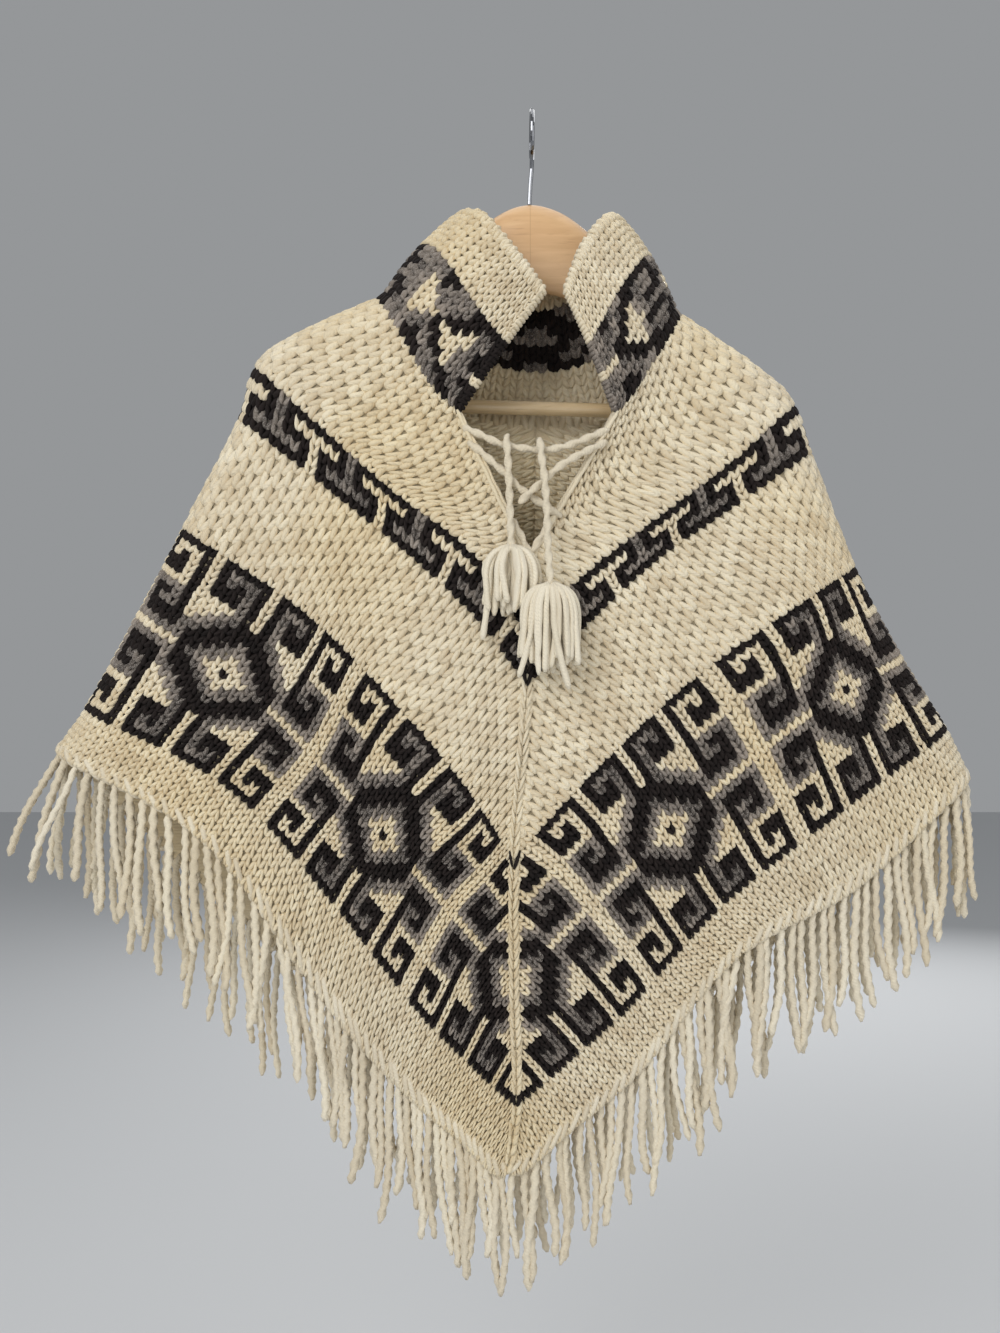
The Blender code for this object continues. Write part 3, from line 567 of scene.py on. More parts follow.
def addStrand(pile, line, radius, pitch=1.0, lobe=0.0, sides=6, spacing=strand["spacing"], phase=0.0,
              tone=0.5, finish=0):
    rough, length = smoothLine(line, strand["roughStations"])
    count = max(int(length / spacing), 4)
    path, length = smoothLine(rough, count + 1)
    tangents = unit(np.gradient(path, axis=0))
    side = np.cross(tangents[0], (0.0, 1.0, 0.0))
    if np.linalg.norm(side) < 0.1:
        side = np.cross(tangents[0], (1.0, 0.0, 0.0))
    shrink = np.ones(len(path))
    shrink[[0, 1, -1, -2]] = strand["endShares"] * 2
    angles = np.linspace(0, 2 * math.pi, sides, endpoint=False)
    points = np.empty((len(path), sides, 3))
    for k, (place, tangent) in enumerate(zip(path, tangents)):
        side = unit(side - tangent * np.dot(side, tangent))
        other = np.cross(tangent, side)
        twist = 2 * math.pi * (k / count * length) / pitch + phase
        lobes = radius * shrink[k] * (1 - lobe + lobe * np.cos(2 * (angles - twist)))
        points[k] = place + np.outer(np.cos(angles) * lobes, side) + np.outer(np.sin(angles) * lobes, other)
    along = np.linspace(0, length / strand["yarnTurn"], len(path))
    yarn = np.stack(np.broadcast_arrays((angles / math.pi)[None], along[:, None]), axis=-1)
    addToPile(pile, points, tubeFaces(len(path), sides), finish, tone, yarn)
    return path, length


def addArc(pile, sheet, stations, radius, tone, finish=0, spacing=2.6 * mm):
    # a short length of yarn through (row, column, height) stations of a sheet
    rows, columns, heights = np.array(stations, float).T
    line = readCloth(sheet, rows, columns, heights)
    addStrand(pile, line, radius, spacing=spacing, tone=tone, finish=finish)


def halfColumn(sign):
    # the columns of the front half run from 0 to -1, those of the back half from 0 to 1
    return lambda row, wale: sign * np.minimum(np.maximum(wale, 0) / stitchesAcross(row), 1)


def greyTone(row, wale):
    # grey is paler beside cream and darker beside black, as a knitter grades heathered wool
    near = [chartFinish(row + a, wale + b) for a, b in ((-1, 0), (1, 0), (0, -1), (0, 1), (-2, 0), (2, 0))]
    return 0.46 + 0.15 * near.count(0) - 0.105 * near.count(2)


def planHalf():
    # every stitch of a half panel as (row, wale, rows tall, finish), with the grey ones' tones
    plan, tones = [], []
    limit = int(stitchesAcross(cloth["rows"])) + 1
    for wale in range(limit):
        row = 0
        while row < int(cloth["rows"]):
            textured = (row < smallBand["firstRow"]
                        or smallBand["firstRow"] + len(smallChart) <= row < largeBand["firstRow"])
            edge = smallBand["firstRow"] if row < smallBand["firstRow"] else largeBand["firstRow"]
            tall = 2 if textured and (row + wale) % 2 == 0 and row + 2 <= edge else 1
            if wale + 0.2 <= stitchesAcross(row + 0.5 * tall):
                finish = chartFinish(row, wale)
                plan.append((row, wale, tall, finish))
                tones.append(greyTone(row, wale) if finish == 1 else 0.5)
            row += tall
    return np.array(plan), np.array(tones)


# the raised line of stitches down the middle of the front and of the back
ridge = {"firstRow": 13, "lift": 1.9 * mm, "spread": 1.7, "blackRows": (18, 19, 20, 21, 22, 38, 62),
         "seamYarn": 1.5 * mm, "seamHeight": 0.1 * mm, "seamStations": 30}
# the slit's two loose edge strands, away in stitches from the slit
slitEdge = {"away": (0.1, 0.75), "height": (1.6 * mm, 3.2 * mm), "wander": 0.1, "radius": 2.0 * mm,
            "firstRow": 0.2, "lastRow": 14.5, "stations": 9, "pitch": 34 * mm, "lobe": 0.12, "tone": 0.75}
# the inside of the back, as far down and as far out as the neck shows it; its stitches get a pale tone,
# painted light against the shade inside the neck
innerNeck = {"lastRow": 22, "nearest": 0.42, "wales": 60, "tone": 0.95}


def addRidge(pile, sheet, sign, rng):
    rows = np.arange(ridge["firstRow"], int(cloth["rows"])).astype(float)
    finish = np.array([2 if row in ridge["blackRows"] else 0 for row in rows])
    knit(pile, sheet, rows, np.full(len(rows), -0.5), 1, finish,
         lambda row, away: sign * (1 - np.maximum(away * ridge["spread"], -0.12) / stitchesAcross(row)), rng,
         lift=ridge["lift"], legs=(1,))
    if sheet is leftCloth:
        count = ridge["seamStations"]
        rows = np.linspace(ridge["firstRow"] + 1.5, cloth["rows"], count)
        seam = readCloth(sheet, rows, np.full(count, float(sign)), np.full(count, ridge["seamHeight"]))
        addStrand(pile, seam, ridge["seamYarn"], spacing=5 * mm)


def addSlitEdge(pile, sheet, rng):
    rows = np.linspace(slitEdge["firstRow"], slitEdge["lastRow"], slitEdge["stations"])
    for away, height in zip(slitEdge["away"], slitEdge["height"]):
        places = away + rng.normal(0, slitEdge["wander"], len(rows))
        line = readCloth(sheet, rows, -1 + places / stitchesAcross(rows), np.full(len(rows), height))
        addStrand(pile, line, slitEdge["radius"], slitEdge["pitch"], slitEdge["lobe"], sides=8,
                  tone=slitEdge["tone"])


def everyStitch(rows, wales):
    return np.indices((rows, wales)).reshape(2, -1).astype(float)


def knitHalf(name, sheet, sign, seed):
    rng = np.random.default_rng(seed)
    pile = newPile()
    plan, tones = planHalf()
    for tall in (1, 2):
        rings = 6 if sign < 0 else 3 + tall
        chosen = plan[:, 2] == tall
        knit(pile, sheet, plan[chosen, 0].astype(float), plan[chosen, 1].astype(float), tall, plan[chosen, 3],
             halfColumn(sign), rng, rings, tone=tones[chosen])
    addRidge(pile, sheet, sign, rng)
    if sign < 0:
        addSlitEdge(pile, sheet, rng)
    else:
        rows, wales = everyStitch(innerNeck["lastRow"], innerNeck["wales"])
        share = wales / stitchesAcross(rows)
        kept = (share > innerNeck["nearest"]) & (share < 1)
        finish = np.array([chartFinish(int(r), int(w)) for r, w in zip(rows[kept], wales[kept])])
        # painted light: the inside stitches take a paler tone to make up for the shade inside the neck
        knit(pile, sheet, rows[kept], wales[kept], 1, finish, halfColumn(sign), rng, 5, inside=1,
             tone=innerNeck["tone"])
    return meshFromPile(name, pile, knitColours)


# a half panel is (its cloth, -1 in front or 1 behind)
halves = {"LeftFront": (leftCloth, -1), "RightFront": (rightCloth, -1),
          "LeftBack": (leftCloth, 1), "RightBack": (rightCloth, 1)}
stitches = {half: knitHalf("stitches" + half, *halves[half], stitch["seed"] + number)
            for number, half in enumerate(halves)}
print("stitches knitted")


# the backing cloth under the stitches: a closed thin wall, purl side inward; where it shows cream between the
# stitches it is painted shade, a darker cream, and its low tone darkens it further as painted shade
backing = {"sunk": -1.35 * mm, "rows": 71, "columns": 141, "tone": 0.3}


def gridBorder(n, m):
    # indices round the rim of an n by m grid
    border = list(range(m)) + [i * m + m - 1 for i in range(1, n)]
    return np.array(border + [(n - 1) * m + j for j in range(m - 2, -1, -1)]
                    + [i * m for i in range(n - 2, 0, -1)])


def shellPile(sheet, rows, columns, outward, thickness, finishOf):
    rowGrid, columnGrid = np.meshgrid(rows, columns, indexing="ij")
    outer = readCloth(sheet, rowGrid, columnGrid, outward).reshape(-1, 3)
    inner = readCloth(sheet, rowGrid, columnGrid, -thickness).reshape(-1, 3)
    n, m = rowGrid.shape
    wale = np.abs(columnGrid) * stitchesAcross(rowGrid)
    yarn = np.stack((wale, rowGrid), axis=-1).reshape(-1, 2)
    finish = finishOf(rowGrid, wale)[:-1, :-1].ravel()
    border = gridBorder(n, m)
    after = np.roll(border, -1)
    rim = np.stack((after, border, border + n * m, after + n * m), axis=1)
    faces = np.concatenate((gridFaces(n, m), gridFaces(n, m)[:, ::-1] + n * m, rim))
    if sheet["side"] > 0:
        faces = faces[:, ::-1]
    # outer faces where the chart is cream take finish 3, the painted shade wool: cream darkened as the shade
    # between stitches
    finishes = np.concatenate((np.where(finish == 0, 3, finish), finish, np.zeros(len(rim), int)))
    pile = newPile()
    addToPile(pile, np.concatenate((outer, inner)), faces, finishes, backing["tone"],
              np.concatenate((yarn, yarn)))
    return pile


def panelFinish(rowGrid, wale):
    rows = np.clip(np.floor(rowGrid + 0.5).astype(int), 0, int(cloth["rows"]) - 1)
    wales = np.floor(wale + 0.01).astype(int)
    return np.array([[chartFinish(r, w) for r, w in zip(*lines)] for lines in zip(rows, wales)])


def addPanelShell(name, sheet, replaced):
    pile = shellPile(sheet, np.linspace(0, cloth["rows"], backing["rows"]),
                     np.linspace(-1, 1, backing["columns"]), backing["sunk"], cloth["thickness"], panelFinish)
    return meshFromPile(name, pile, knitColours, replaced)


shells = {"Left": addPanelShell("clothLeft", leftCloth, "panel_left"),
          "Right": addPanelShell("clothRight", rightCloth, "panel_right")}
print("backing cloth laid")


# collar: stitches inside and outside, on a soft wall that stands round the neck
# place 0 is the left front end, 2 the centre back, 4 the right front end
collar = {"rows": 16, "wales": 64, "lift": 0.75 * mm, "root": 3.5 * mm, "belly": 5 * mm, "thickness": 5 * mm,
          "backingSunk": 1.4 * mm, "insideHeight": 0.8, "insideTone": 0.2, "insideLowest": 6, "fineRows": 57,
          "fineColumns": 385}
# the edge yarn goes from the outside over the edge to the inside; each line is (rows, stitches, height)
collarEdge = {"yarn": 2.1 * mm, "endStep": 0.55, "wander": 0.12,
              "top": ((-1.1, -0.4, 0.6 * mm), (-0.25, 0, 0.9 * mm), (0.12, 0, -2 * mm), (-0.2, 0.1, -6 * mm),
                      (-1.1, 0.3, -5.8 * mm)),
              "end": ((-0.3, 0.8, 0.6 * mm), (0, 0.2, 0.9 * mm), (0, -0.2, -2.25 * mm), (0, 0.2, -6 * mm),
                      (0.3, 0.8, -5.8 * mm))}
# the top edge is (place, x, depth, z), the last three in mm
collarTop = (
    (0.0, 9, -62, -167), (0.5, -17, -55, -130), (0.8, -42, -34, -95), (1.0, -59, -4, -85),
    (1.35, -50, 18, -97), (1.7, -27, 25, -120), (2.0, 4, 27, -134), (2.3, 36, 25, -122),
    (2.65, 62, 18, -100), (3.0, 74, -4, -92), (3.2, 62, -34, -97), (3.5, 41, -56, -127), (4.0, 25, -63, -167),
)
# rows from the cream top downward to the seam; columns run from the side fold to the front end
collarLeftChart = (
    "BBGGGGBBGGGBBBBB",
    "GBGGGGBGGGGBBGGB",
    "GBBGGCGGGGBBCGGB",
    "BBGGGCCGGBBCCGBB",
    "GGGGGCCCBCCCGGBB",
    "BBBGGCCGBBCCGGGC",
    "GGBBGCGGGBBCGGBB",
    "GGBGGGGBGGGBBGGB",
    "BBBGGGBBBGGGBBGB",
)
collarRightChart = (
    "GGGBBBBBBGGGBBGG",
    "GGGBGGGBBBGGGGGG",
    "GGBBGGGGCBBGGGGG",
    "CCGBBBGGCCBBBGGG",
    "GCGGGGGCCCCBBCCC",
    "GGGBBBBGCCBBGGGG",
    "GGBGGGGGCBBGGGGG",
    "GGBBGGBBBBGGBBGG",
    "GGBBBBBBGGGBBBGG",
)
collarInsideChart = (
    "BGGBBBGGGBBBGGBB",
    "GGBBBGGGBBBGGBBB",
    "BBBGGGBBBGGGBBBG",
    "BBGGGBBBGGGBBBGG",
    "GBBBGGGBBBGGGBBB",
    "BGGBBBGGBBBBGGBB",
    "BBGGBBBBBBGGBBBG",
)


def fineCollar():
    places = np.linspace(0, 4, collar["fineColumns"])
    edgeOuter = np.empty((len(places), 3))
    below = np.empty((len(places), 3))
    for k, place in enumerate(places):
        sheet, column = (leftCloth, place - 1) if place <= 2 else (rightCloth, 3 - place)
        edgeOuter[k] = readCloth(sheet, 0.0, column)
        below[k] = readCloth(sheet, 3.0, column)
    up = unit(edgeOuter - below)
    root = edgeOuter + up * collar["root"]
    keys = [line[0] for line in collarTop]
    top = readColumn(keys, np.array([line[1:] for line in collarTop], float) * mm, places)
    rise = np.linspace(0, 1, collar["fineRows"])
    points = root[None] + (top - root)[None] * rise[:, None, None]
    points[0] = edgeOuter + up * collar["lift"]
    points = points + surfaceNormals(points, -1) * (np.sin(math.pi * rise) * collar["belly"])[:, None, None]
    return {"points": points, "normals": surfaceNormals(points, -1), "rows": float(collar["rows"]),
            "side": -1}


collarCloth = fineCollar()


def collarFinish(row, wale, inside=False):
    # row 0 is at the seam; the wales count from the left front end round to the right one
    chart, lowest = (collarLeftChart if wale < collar["wales"] // 2 else collarRightChart), 0
    if inside:
        chart, lowest = collarInsideChart, collar["insideLowest"]
    line = lowest + len(chart) - 1 - row
    if row < lowest or line < 0:
        return 0
    along = wale % (collar["wales"] // 2)
    place = 15 - along if along < 16 else along - 16
    return letterFinish[chart[line][place]]


def collarColumn(row, wale):
    return np.clip(wale / (collar["wales"] / 2) - 1, -1, 1)


def collarTone(row, wale, inside):
    near = [collarFinish(row + a, wale + b) for a, b in ((-1, 0), (1, 0), (0, -1), (0, 1))]
    return collar["insideTone"] if inside else 0.5 + 0.13 * near.count(0) - 0.09 * near.count(2)


def addCollarEdges(pile, rng):
    # the bound-off top and the two front ends
    wale, top = 2 / collar["wales"], float(collar["rows"])
    for number in range(collar["wales"]):
        column = -1 + (number + 0.5) * wale + rng.normal(0, collarEdge["wander"]) * wale
        tone = np.clip(rng.normal(0.6, 0.2), 0, 1)
        stations = [(top + up, column + away * wale, height) for up, away, height in collarEdge["top"]]
        addArc(pile, collarCloth, stations, collarEdge["yarn"], tone)
    for end, step in ((-1.0, wale), (1.0, -wale)):
        for row in np.arange(0.3, top, collarEdge["endStep"]):
            finish = collarFinish(int(row), 0 if end < 0 else collar["wales"] - 1)
            stations = [(row + up, end + away * step, height) for up, away, height in collarEdge["end"]]
            addArc(pile, collarCloth, stations, collarEdge["yarn"], 0.5, finish)


def addCollar():
    rng = np.random.default_rng(21)
    count, columns = collar["rows"], 2 * collar["wales"]
    shell = shellPile(collarCloth, np.linspace(0, count, count + 1), np.linspace(-1, 1, columns + 1),
                      -collar["backingSunk"], collar["thickness"] - collar["backingSunk"],
                      lambda rows, wales: np.zeros(rows.shape, int))
    outerFinish, innerFinish = (
        np.array([collarFinish(r, w // 2, inside) for r in range(count) for w in range(columns)])
        for inside in (False, True))
    rim = np.zeros(len(shell["faces"][0]) - 2 * len(outerFinish), int)
    # outer cream faces of the collar's backing take the painted shade wool, cream darkened as the shade
    # between stitches
    shell["finish"] = [np.concatenate((np.where(outerFinish == 0, 3, outerFinish), innerFinish, rim))]
    base = meshFromPile("collarCloth", shell, knitColours, "collar")
    # a collar stitch's tip points down to the seam, so its rows are counted from the top edge
    upside = dict(collarCloth, points=collarCloth["points"][::-1], normals=collarCloth["normals"][::-1])
    rows, wales = everyStitch(count, collar["wales"])
    plan = list(zip(rows.astype(int), wales.astype(int)))
    outside, within = newPile(), newPile()
    for pile, inside, rings in ((outside, 0, 6), (within, collar["insideHeight"], 4)):
        finish = np.array([collarFinish(r, w, bool(inside)) for r, w in plan])
        tone = np.array([collarTone(r, w, inside) if f == 1 else 0.5 for (r, w), f in zip(plan, finish)])
        knit(pile, upside, count - 1 - rows, wales, 1, finish, collarColumn, rng, rings, inside=inside,
             tone=tone)
    addCollarEdges(outside, rng)
    return (base, meshFromPile("collarOuterStitches", outside, knitColours),
            meshFromPile("collarInnerStitches", within, knitColours))


collarBase, collarOuter, collarInner = addCollar()
print("collar knitted")


# fringe: twisted lengths that hang from behind the hem; root is (row, height) where a length is fixed
fringe = {"perHalf": 46, "radius": 4.0 * mm, "pitch": 21 * mm, "length": 99 * mm, "spread": 12 * mm,
          "cutSpread": 4 * mm, "first": 0.02, "last": 0.985, "sway": 5 * mm, "wave": 1.6 * mm, "lobe": 0.23,
          "tipFrom": 0.88, "tipShorter": 18 * mm, "leanTo": 0.14,
          "root": ((69.0, -4.2 * mm), (69.7, -4.0 * mm), (70.5, -2.6 * mm)),
          "parts": (0.15, 0.32, 0.5, 0.68, 0.85, 1.0), "seed": 31,
          "sideLeans": {"LeftFront": -0.62, "LeftBack": -0.1, "RightFront": 0.06, "RightBack": 0.04}}
# the small loops over the hem; each line of the path is (row, part of the slant, height)
hemLoop = {"count": 50, "yarn": 2.5 * mm, "slant": (0.7, 1.6), "spacing": 3 * mm,
           "path": ((68.6, -1, -0.4 * mm), (69, -0.6, 1.4 * mm), (69.7, 0, 1.5 * mm), (70.2, 0.45, -1.0 * mm),
                    (70.1, 0.8, -5.0 * mm), (69.5, 1, -6 * mm))}


def addHemLoops(pile, sheet, sign, rng):
    for number in range(hemLoop["count"]):
        share = (number + 0.5) / hemLoop["count"] + rng.normal(0, 0.0015)
        slant = rng.uniform(*hemLoop["slant"]) / stitchesAcross(cloth["rows"])
        stations = [(row, sign * np.clip(share + part * slant, 0, 1), height)
                    for row, part, height in hemLoop["path"]]
        addArc(pile, sheet, stations, hemLoop["yarn"], rng.uniform(0.2, 0.75), spacing=hemLoop["spacing"])


def addFringe(name, sheet, sign, sideLean, seed):
    rng = np.random.default_rng(seed)
    pile = newPile()
    for number, share in enumerate(np.linspace(fringe["first"], fringe["last"], fringe["perHalf"])):
        column = sign * (share + rng.normal(0, 0.003))
        line = [readCloth(sheet, row, column, height) for row, height in fringe["root"]]
        lean = sideLean * max(0.0, 1 - share / fringe["leanTo"]) ** 1.3 + rng.normal(0, 0.06)
        length = fringe["length"] + fringe["spread"] * math.sin(number * 2.17 + seed)
        length += rng.normal(0, fringe["cutSpread"])
        length -= fringe["tipShorter"] * max(0.0, share - fringe["tipFrom"]) / (1 - fringe["tipFrom"])
        start = line[-1]
        phase = rng.uniform(0, 6.28)
        for part in fringe["parts"]:
            bend = math.sin(part * 4.2 + phase) * fringe["sway"] * part
            outward = math.cos(part * 3.1 + phase) * fringe["wave"]
            line.append(start + np.array((lean * length * part + bend, outward,
                                          -length * part * math.sqrt(max(0.05, 1 - lean ** 2)))))
        addStrand(pile, line, fringe["radius"] * rng.uniform(0.85, 1.08),
                  fringe["pitch"] * rng.uniform(0.85, 1.2), fringe["lobe"], sides=10, phase=phase,
                  tone=rng.uniform(0.2, 0.9))
    addHemLoops(pile, sheet, sign, rng)
    return meshFromPile(name, pile, (fringeCream,), nodeOf(name))


fringes = {half: addFringe("fringe" + half, *halves[half], lean, fringe["seed"] + number)
           for number, (half, lean) in enumerate(fringe["sideLeans"].items())}
print("fringe looped in")


# lace; each point is (x, height, how far the cord's middle stands before the slit) in mm
lace = {"diameter": 5.6 * mm, "radius": 3.4 * mm, "lobe": 0.19, "pitch": 26 * mm, "spacing": 1.8 * mm,
        "tone": 0.45, "slitPlane": -52 * mm}
laceRoutes = {
    "laceTop": ((-57, -276, 3.1), (-48, -280, 4), (-38, -285, 6), (-27, -290, 6), (-10, -293.5, 6),
                (8, -295, 6), (26, -292, 6), (42, -286, 6), (51, -282, 4.5), (61, -278, 3.1)),
    "laceFalling": ((-53, -288, 3.1), (-44, -295, 5), (-34, -304, 6.5), (-24, -313, 6.5),
                    (-12, -325, 6.5), (0, -334, 6.5), (9, -340, 6), (16, -344.5, 4.5), (23, -348, 3.1)),
    "laceRising": ((59, -288, 3.1), (48, -293.5, 7), (36, -300, 11), (21, -309, 13.2), (5, -323, 13.2),
                   (-4, -331, 13), (-12, -338.5, 10)),
    "laceFoot": ((-17.5, -350, 3.1), (-11, -362, 4), (-2.5, -377, 4.4), (4.5, -367, 4), (14.5, -352, 3.1)),
    "laceEndLeft": ((-21.5, -283.4, 7.5), (-21.7, -287.2, 11.2), (-21.4, -292, 12.4), (-20.5, -306, 12.8),
                    (-19.5, -330, 12.8), (-18.5, -360, 12.2), (-18, -376, 12)),
    "laceEndRight": ((5, -286.6, 7.5), (5.2, -290.4, 11.4), (5.5, -296, 13.6), (6.5, -306, 17.4),
                     (8, -317, 19.5), (9.8, -340, 20), (11, -372, 20.5), (12.5, -398, 23),
                     (13, -407, 23.5)),
}


def addLace():
    made, paths = {}, {}
    for number, (name, route) in enumerate(laceRoutes.items()):
        line = [(x * mm, lace["slitPlane"] - stand * mm, z * mm) for x, z, stand in route]
        pile = newPile()
        path, length = addStrand(pile, line, lace["radius"], lace["pitch"], lace["lobe"], sides=12,
                                 spacing=lace["spacing"], phase=number * 0.9, tone=lace["tone"])
        made[name] = meshFromPile(name, pile, (fringeCream,), nodeOf(name))
        paths[name] = (path, length)
    return made, paths


laces, lacePaths = addLace()


# tassels: soft cut lengths laid over the cord's end, round like a mop, with a knot under the top
# layers are (share of the fan, lengths in it); strays are (sideways, longer than the rest) in mm
# stations along a length are (share of the fan, down from the cord's end, share of the length, of the drift)
tassel = {"layers": ((0.25, 4), (0.52, 8), (0.78, 11), (1.0, 13)), "yarn": 2.6 * mm, "fan": 21 * mm,
          "front": 10 * mm, "back": 6 * mm, "length": 46 * mm, "cutSpread": 5 * mm, "drift": 3.2 * mm,
          "pitch": 40 * mm, "lobe": 0.06, "spacing": 3.2 * mm, "rise": 4.5 * mm,
          "stations": ((0.05, -6 * mm, 0, 0), (0.2, 0.5 * mm, 0, 0), (0.6, -1 * mm, 0, 0),
                       (0.95, -10 * mm, 0, 0), (1.04, 0, 0.42, 0.1), (1.0, 0, 0.72, 0.5), (0.94, 0, 1, 1)),
          "raised": (1, 2),
          "knot": 3.6 * mm, "knotYarn": 1.7 * mm, "knotTurns": 2, "knotRise": 0.15 * mm}


def addTassel(name, route, extra, strays, seed):
    rng = np.random.default_rng(seed)
    x, z, stand = route[-1]
    end = np.array((x * mm, lace["slitPlane"] - stand * mm, z * mm))
    pile = newPile()
    lengths = [(share, (k + 0.5 * (layer % 2)) / many, 0.0, 0.0)
               for layer, (share, many) in enumerate(tassel["layers"]) for k in range(many)]
    lengths += [(0.8, 0.6 + 0.15 * k, sideways * mm, longer * mm)
                for k, (sideways, longer) in enumerate(strays)]
    for share, turn, sideways, longer in lengths:
        angle = 2 * math.pi * turn + rng.normal(0, 0.25)
        depth = tassel["back"] if math.sin(angle) > 0 else tassel["front"]
        outward = np.array((math.cos(angle) * tassel["fan"], math.sin(angle) * depth, 0)) * share
        length = tassel["length"] + extra + longer + rng.normal(0, tassel["cutSpread"])
        rise = tassel["rise"] * (1 - share)
        drift = rng.normal(0, tassel["drift"]) + sideways
        line = [end + outward * part + np.array((drift * moved, 0, down - hung * length
                                                 + (rise if k in tassel["raised"] else 0)))
                for k, (part, down, hung, moved) in enumerate(tassel["stations"])]
        addStrand(pile, line, tassel["yarn"] * rng.uniform(0.9, 1.1), tassel["pitch"], tassel["lobe"],
                  sides=8, spacing=tassel["spacing"], tone=rng.uniform(0.6, 1.0))
    ring = [end + np.array((math.cos(a) * tassel["knot"], math.sin(a) * tassel["knot"],
                            a * tassel["knotRise"] - 0.5 * mm))
            for a in np.linspace(0, 2 * math.pi * tassel["knotTurns"], 25)]
    addStrand(pile, ring, tassel["knotYarn"], spacing=2.2 * mm, tone=0.7)
    return meshFromPile(name, pile, (fringeCream,), nodeOf(name))


tasselLeft = addTassel("tasselLeft", laceRoutes["laceEndLeft"], 0, ((-4, 22), (6, 2)), 41)
tasselRight = addTassel("tasselRight", laceRoutes["laceEndRight"], 14 * mm, ((-14, 4), (12, 12)), 42)
print("lace and tassels tied")


# clothes hanger; each ring is (x, top, bottom, half depth) in mm, and None rests in the shoulder's fold
hangerRings = (
    (-221, -233, -247, 4.5), (-216, -225, -254, 7.5), (-205, None, -258, 10), (-193, None, -258, 11),
    (-192, None, -232, 11), (-165, None, -214, 11), (-140, None, -200, 11), (-122, -166, -191, 11),
    (-90, -140, -176, 11), (-60, -110, -163, 11.5), (-36, -91, -156, 11.5), (-18, -80.5, -152, 11.5),
    (-2, -77, -151, 11.5), (14, -79.5, -153, 11.5), (32, -88, -158, 11.5), (56, -108, -168, 11.5),
    (88, -143, -183, 11), (118, -175, -200, 11), (136, None, -211, 11), (160, None, -228, 11),
    (183, None, -243, 11), (184, None, -266, 11), (195, None, -268, 9.5), (204, -251, -268, 7),
    (208, -257, -265, 4.5),
)
hanger = {"sides": 28, "step": 3.0, "headFrom": -122, "headTo": 118, "shoulderRest": 0.5, "squareness": 0.9}


def shoulderTop(x):
    sheet = leftCloth if x < 0 else rightCloth
    rows = np.linspace(0, cloth["rows"], 141)
    fold = readCloth(sheet, rows, np.zeros(len(rows)), np.full(len(rows), -cloth["thickness"])) / mm
    order = np.argsort(fold[:, 0])
    return float(np.interp(x, fold[order, 0], fold[order, 2])) - hanger["shoulderRest"]


def addHangerBody():
    rings = np.array([(x, shoulderTop(x) if top is None else top, bottom, deep)
                      for x, top, bottom, deep in hangerRings], float)
    head = rings[(rings[:, 0] >= hanger["headFrom"]) & (rings[:, 0] <= hanger["headTo"])]
    places = np.arange(hanger["headFrom"], hanger["headTo"] + 0.1, hanger["step"])
    fine = readColumn(head[:, 0], head, places)
    rings = np.concatenate((rings[rings[:, 0] < hanger["headFrom"]], fine,
                            rings[rings[:, 0] > hanger["headTo"]]))
    angles = np.linspace(0, 2 * math.pi, hanger["sides"], endpoint=False)
    upward = np.copysign(np.abs(np.cos(angles)) ** hanger["squareness"], np.cos(angles))
    centre, half = (rings[:, 1] + rings[:, 2]) / 2, (rings[:, 1] - rings[:, 2]) / 2
    points = np.stack((np.repeat(rings[:, :1], hanger["sides"], axis=1), rings[:, 3:] * np.sin(angles),
                       centre[:, None] + half[:, None] * upward), axis=-1) * mm
    pile = newPile()
    addToPile(pile, points, tubeFaces(len(rings), hanger["sides"], flip=True))
    body = meshFromPile("hangerBody", pile, (beech,), "hanger_body")
    return body


def buildWoodGrain():
    number = "NodeSocketFloat"
    group, given, out = newGroup(
        "woodGrain", (("Grain Length", number, 10.0), ("Grain Width", number, 160.0)),
        (("Grain", number), ("Pores", number)))
    place = node(group, "ShaderNodeTexCoord").outputs["Object"]
    scale = node(group, "ShaderNodeCombineXYZ", inputs={0: given["Grain Length"], 1: given["Grain Width"],
                                                        2: given["Grain Width"]}).outputs[0]
    stretched = node(group, "ShaderNodeVectorMath", {"operation": "MULTIPLY"},
                     {0: place, 1: scale}).outputs[0]
    group.links.new(noiseAt(group, stretched, 1.0, 4.0, distortion=0.6), out["Grain"])
    group.links.new(noiseAt(group, stretched, 4.0, 2.0), out["Pores"])
    return group


woodGrain = buildWoodGrain()
# jointAt is the x of the glued joint in the middle of the hanger
woods = {
    "beechWood": {"light": (0.74, 0.475, 0.245, 1), "deep": (0.66, 0.405, 0.20, 1),
                  "pore": (0.50, 0.28, 0.13, 1), "jointAt": -1.5 * mm, "roughness": (0.26, 0.42),
                  "coat": 0.35},
    "barWood": {"light": (0.70, 0.53, 0.31, 1), "deep": (0.56, 0.40, 0.21, 1),
                "pore": (0.42, 0.28, 0.14, 1), "jointAt": None, "roughness": (0.16, 0.32), "coat": 0.5},
}
woodLook = {"grainLength": 14.0, "grainWidth": 170.0, "grainRange": (0.35, 0.65), "poreRange": (0.62, 0.75),
            "poreShare": 0.5, "jointEdge": (0.2 * mm, 0.5 * mm), "jointShare": 0.55, "bump": 0.12,
            "bumpDepth": 0.3 * mm, "coatRoughness": 0.18}
hookLook = {"dark": (0.16, 0.165, 0.18, 1), "bright": (0.34, 0.345, 0.36, 1), "wearSize": 420.0,
            "roughness": (0.06, 0.2)}


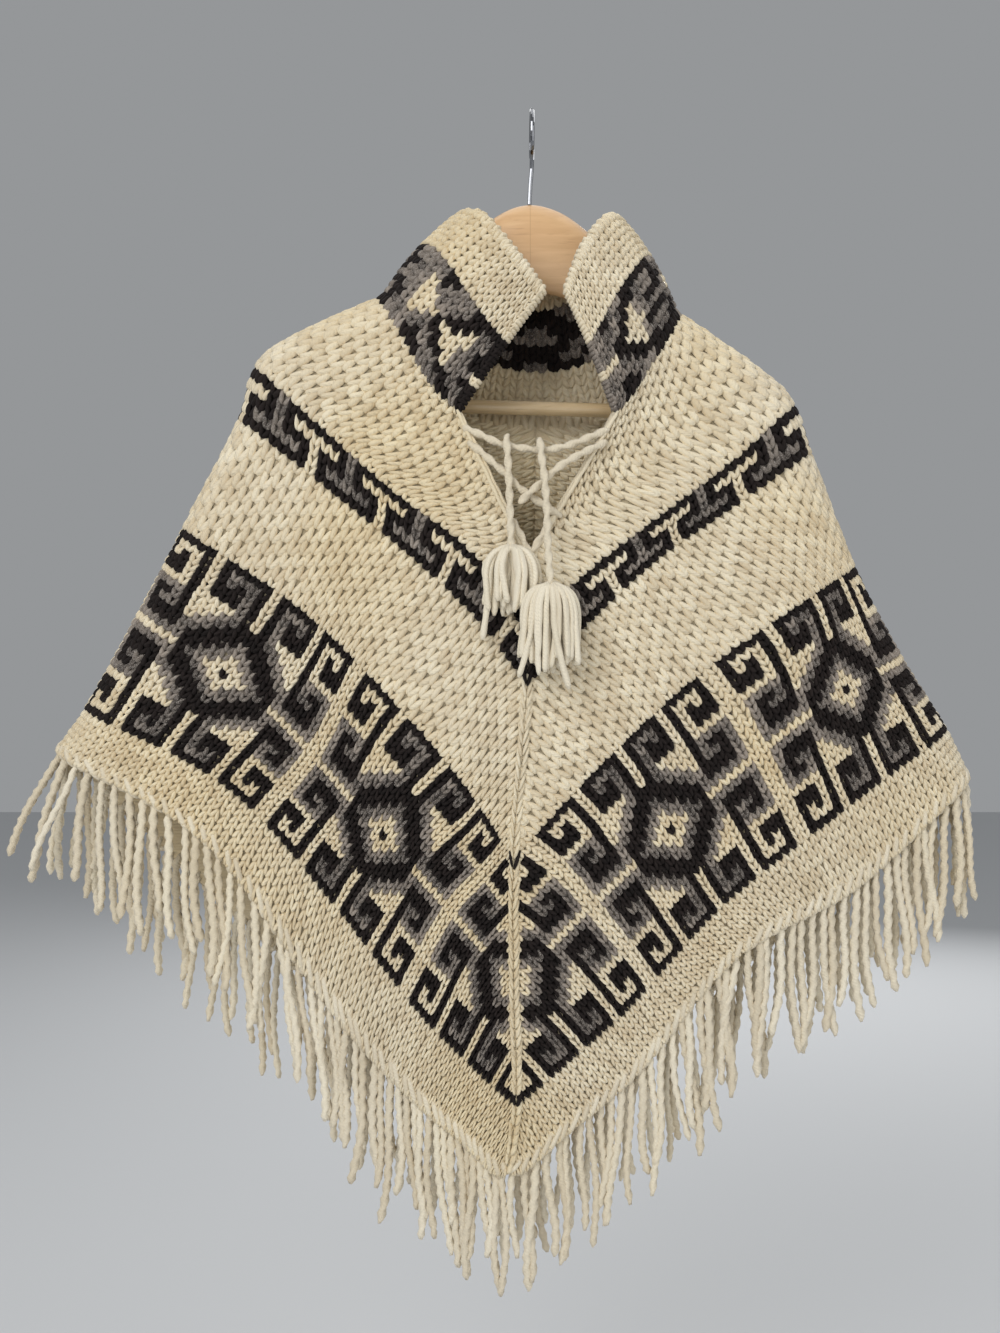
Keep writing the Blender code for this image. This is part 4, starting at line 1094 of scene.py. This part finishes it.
def makeWood(name):
    look = woods[name]
    material, tree, shader = newMaterial(name, look["light"])
    grain = placeGroup(tree, woodGrain, {"Grain Length": woodLook["grainLength"],
                                         "Grain Width": woodLook["grainWidth"]})
    spread = remap(tree, grain["Grain"], woodLook["grainRange"])
    colour = mixColours(tree, spread, look["deep"], look["light"])
    pores = remap(tree, grain["Pores"], woodLook["poreRange"], (0, woodLook["poreShare"]))
    colour = mixColours(tree, pores, colour, look["pore"])
    if look["jointAt"] is not None:
        place = node(tree, "ShaderNodeTexCoord").outputs["Object"]
        x = node(tree, "ShaderNodeSeparateXYZ", inputs={0: place}).outputs[0]
        off = mathStep(tree, "ABSOLUTE", mathStep(tree, "SUBTRACT", x, look["jointAt"]))
        joint = remap(tree, off, woodLook["jointEdge"], (woodLook["jointShare"], 0))
        colour = mixColours(tree, joint, colour, look["pore"])
    feed(tree, shader, {
        "Base Color": colour, "Roughness": remap(tree, grain["Grain"], wanted=look["roughness"]),
        "Normal": bumpNormal(tree, grain["Pores"], woodLook["bump"], woodLook["bumpDepth"]),
        "Coat Weight": look["coat"], "Coat Roughness": woodLook["coatRoughness"]})
    return material


def makeHookMetal():
    material, tree, shader = newMaterial("platedWire")
    place = node(tree, "ShaderNodeTexCoord").outputs["Object"]
    wear = noiseAt(tree, place, hookLook["wearSize"], 3.0)
    feed(tree, shader, {"Base Color": mixColours(tree, wear, hookLook["dark"], hookLook["bright"]),
                        "Roughness": remap(tree, wear, wanted=hookLook["roughness"]), "Metallic": 1.0})
    return material


beech = makeWood("beechWood")
barWood = makeWood("barWood")
hookMetal = makeHookMetal()


def dressNode(name, material):
    for place in nodes[name].material_slots:
        place.material = material


hangerBody = addHangerBody()
dressNode("hanger_bar", barWood)
dressNode("hanger_hook", hookMetal)
print("hanger finished")


# floor, light and air; a lamp is (place, size, power)
studio = {"floorHeight": -1.30, "floorHalf": 6.0, "floorColour": (0.62, 0.63, 0.64, 1), "floorRoughness": 0.9,
          "air": (0.50, 0.515, 0.53, 1), "airStrength": 0.6, "aim": (0.0, 0.0, -0.5)}
lamps = {"key": ((-1.4, -2.3, 0.9), 2.0, 50), "fill": ((1.9, -1.9, -0.2), 2.4, 17),
         "top": ((0.2, 0.3, 1.6), 2.0, 12), "front": ((0.1, -2.5, -0.5), 1.6, 5),
         "behind": ((0.7, 2.5, 0.4), 2.4, 34)}


def addFloor():
    mesh = bpy.data.meshes.new("floor")
    half, z = studio["floorHalf"], studio["floorHeight"]
    corners = [(x * half, y * half, z) for x, y in ((-1, -1), (1, -1), (1, 1), (-1, 1))]
    mesh.from_pydata(corners, [], [(0, 1, 2, 3)])
    floor = bpy.data.objects.new("floor", mesh)
    scene.collection.objects.link(floor)
    material, tree, shader = newMaterial("paleFloor")
    feed(tree, shader, {"Base Color": studio["floorColour"], "Roughness": studio["floorRoughness"]})
    mesh.materials.append(material)


def addLight():
    world = bpy.data.worlds.new("softAir")
    world.use_nodes = True
    feed(world.node_tree, world.node_tree.nodes["Background"], {0: studio["air"], 1: studio["airStrength"]})
    scene.world = world
    for name, (place, size, power) in lamps.items():
        data = bpy.data.lights.new(name, "AREA")
        data.size = size
        data.energy = power
        lamp = bpy.data.objects.new(name, data)
        lamp.location = place
        aim = np.array(studio["aim"]) - np.array(place)
        tilt = math.acos(-aim[2] / np.linalg.norm(aim))
        lamp.rotation_euler = (tilt, 0, math.atan2(aim[0], -aim[1]) + math.pi)
        scene.collection.objects.link(lamp)


addFloor()
addLight()
scene.view_settings.view_transform = "Standard"
print("studio lit")
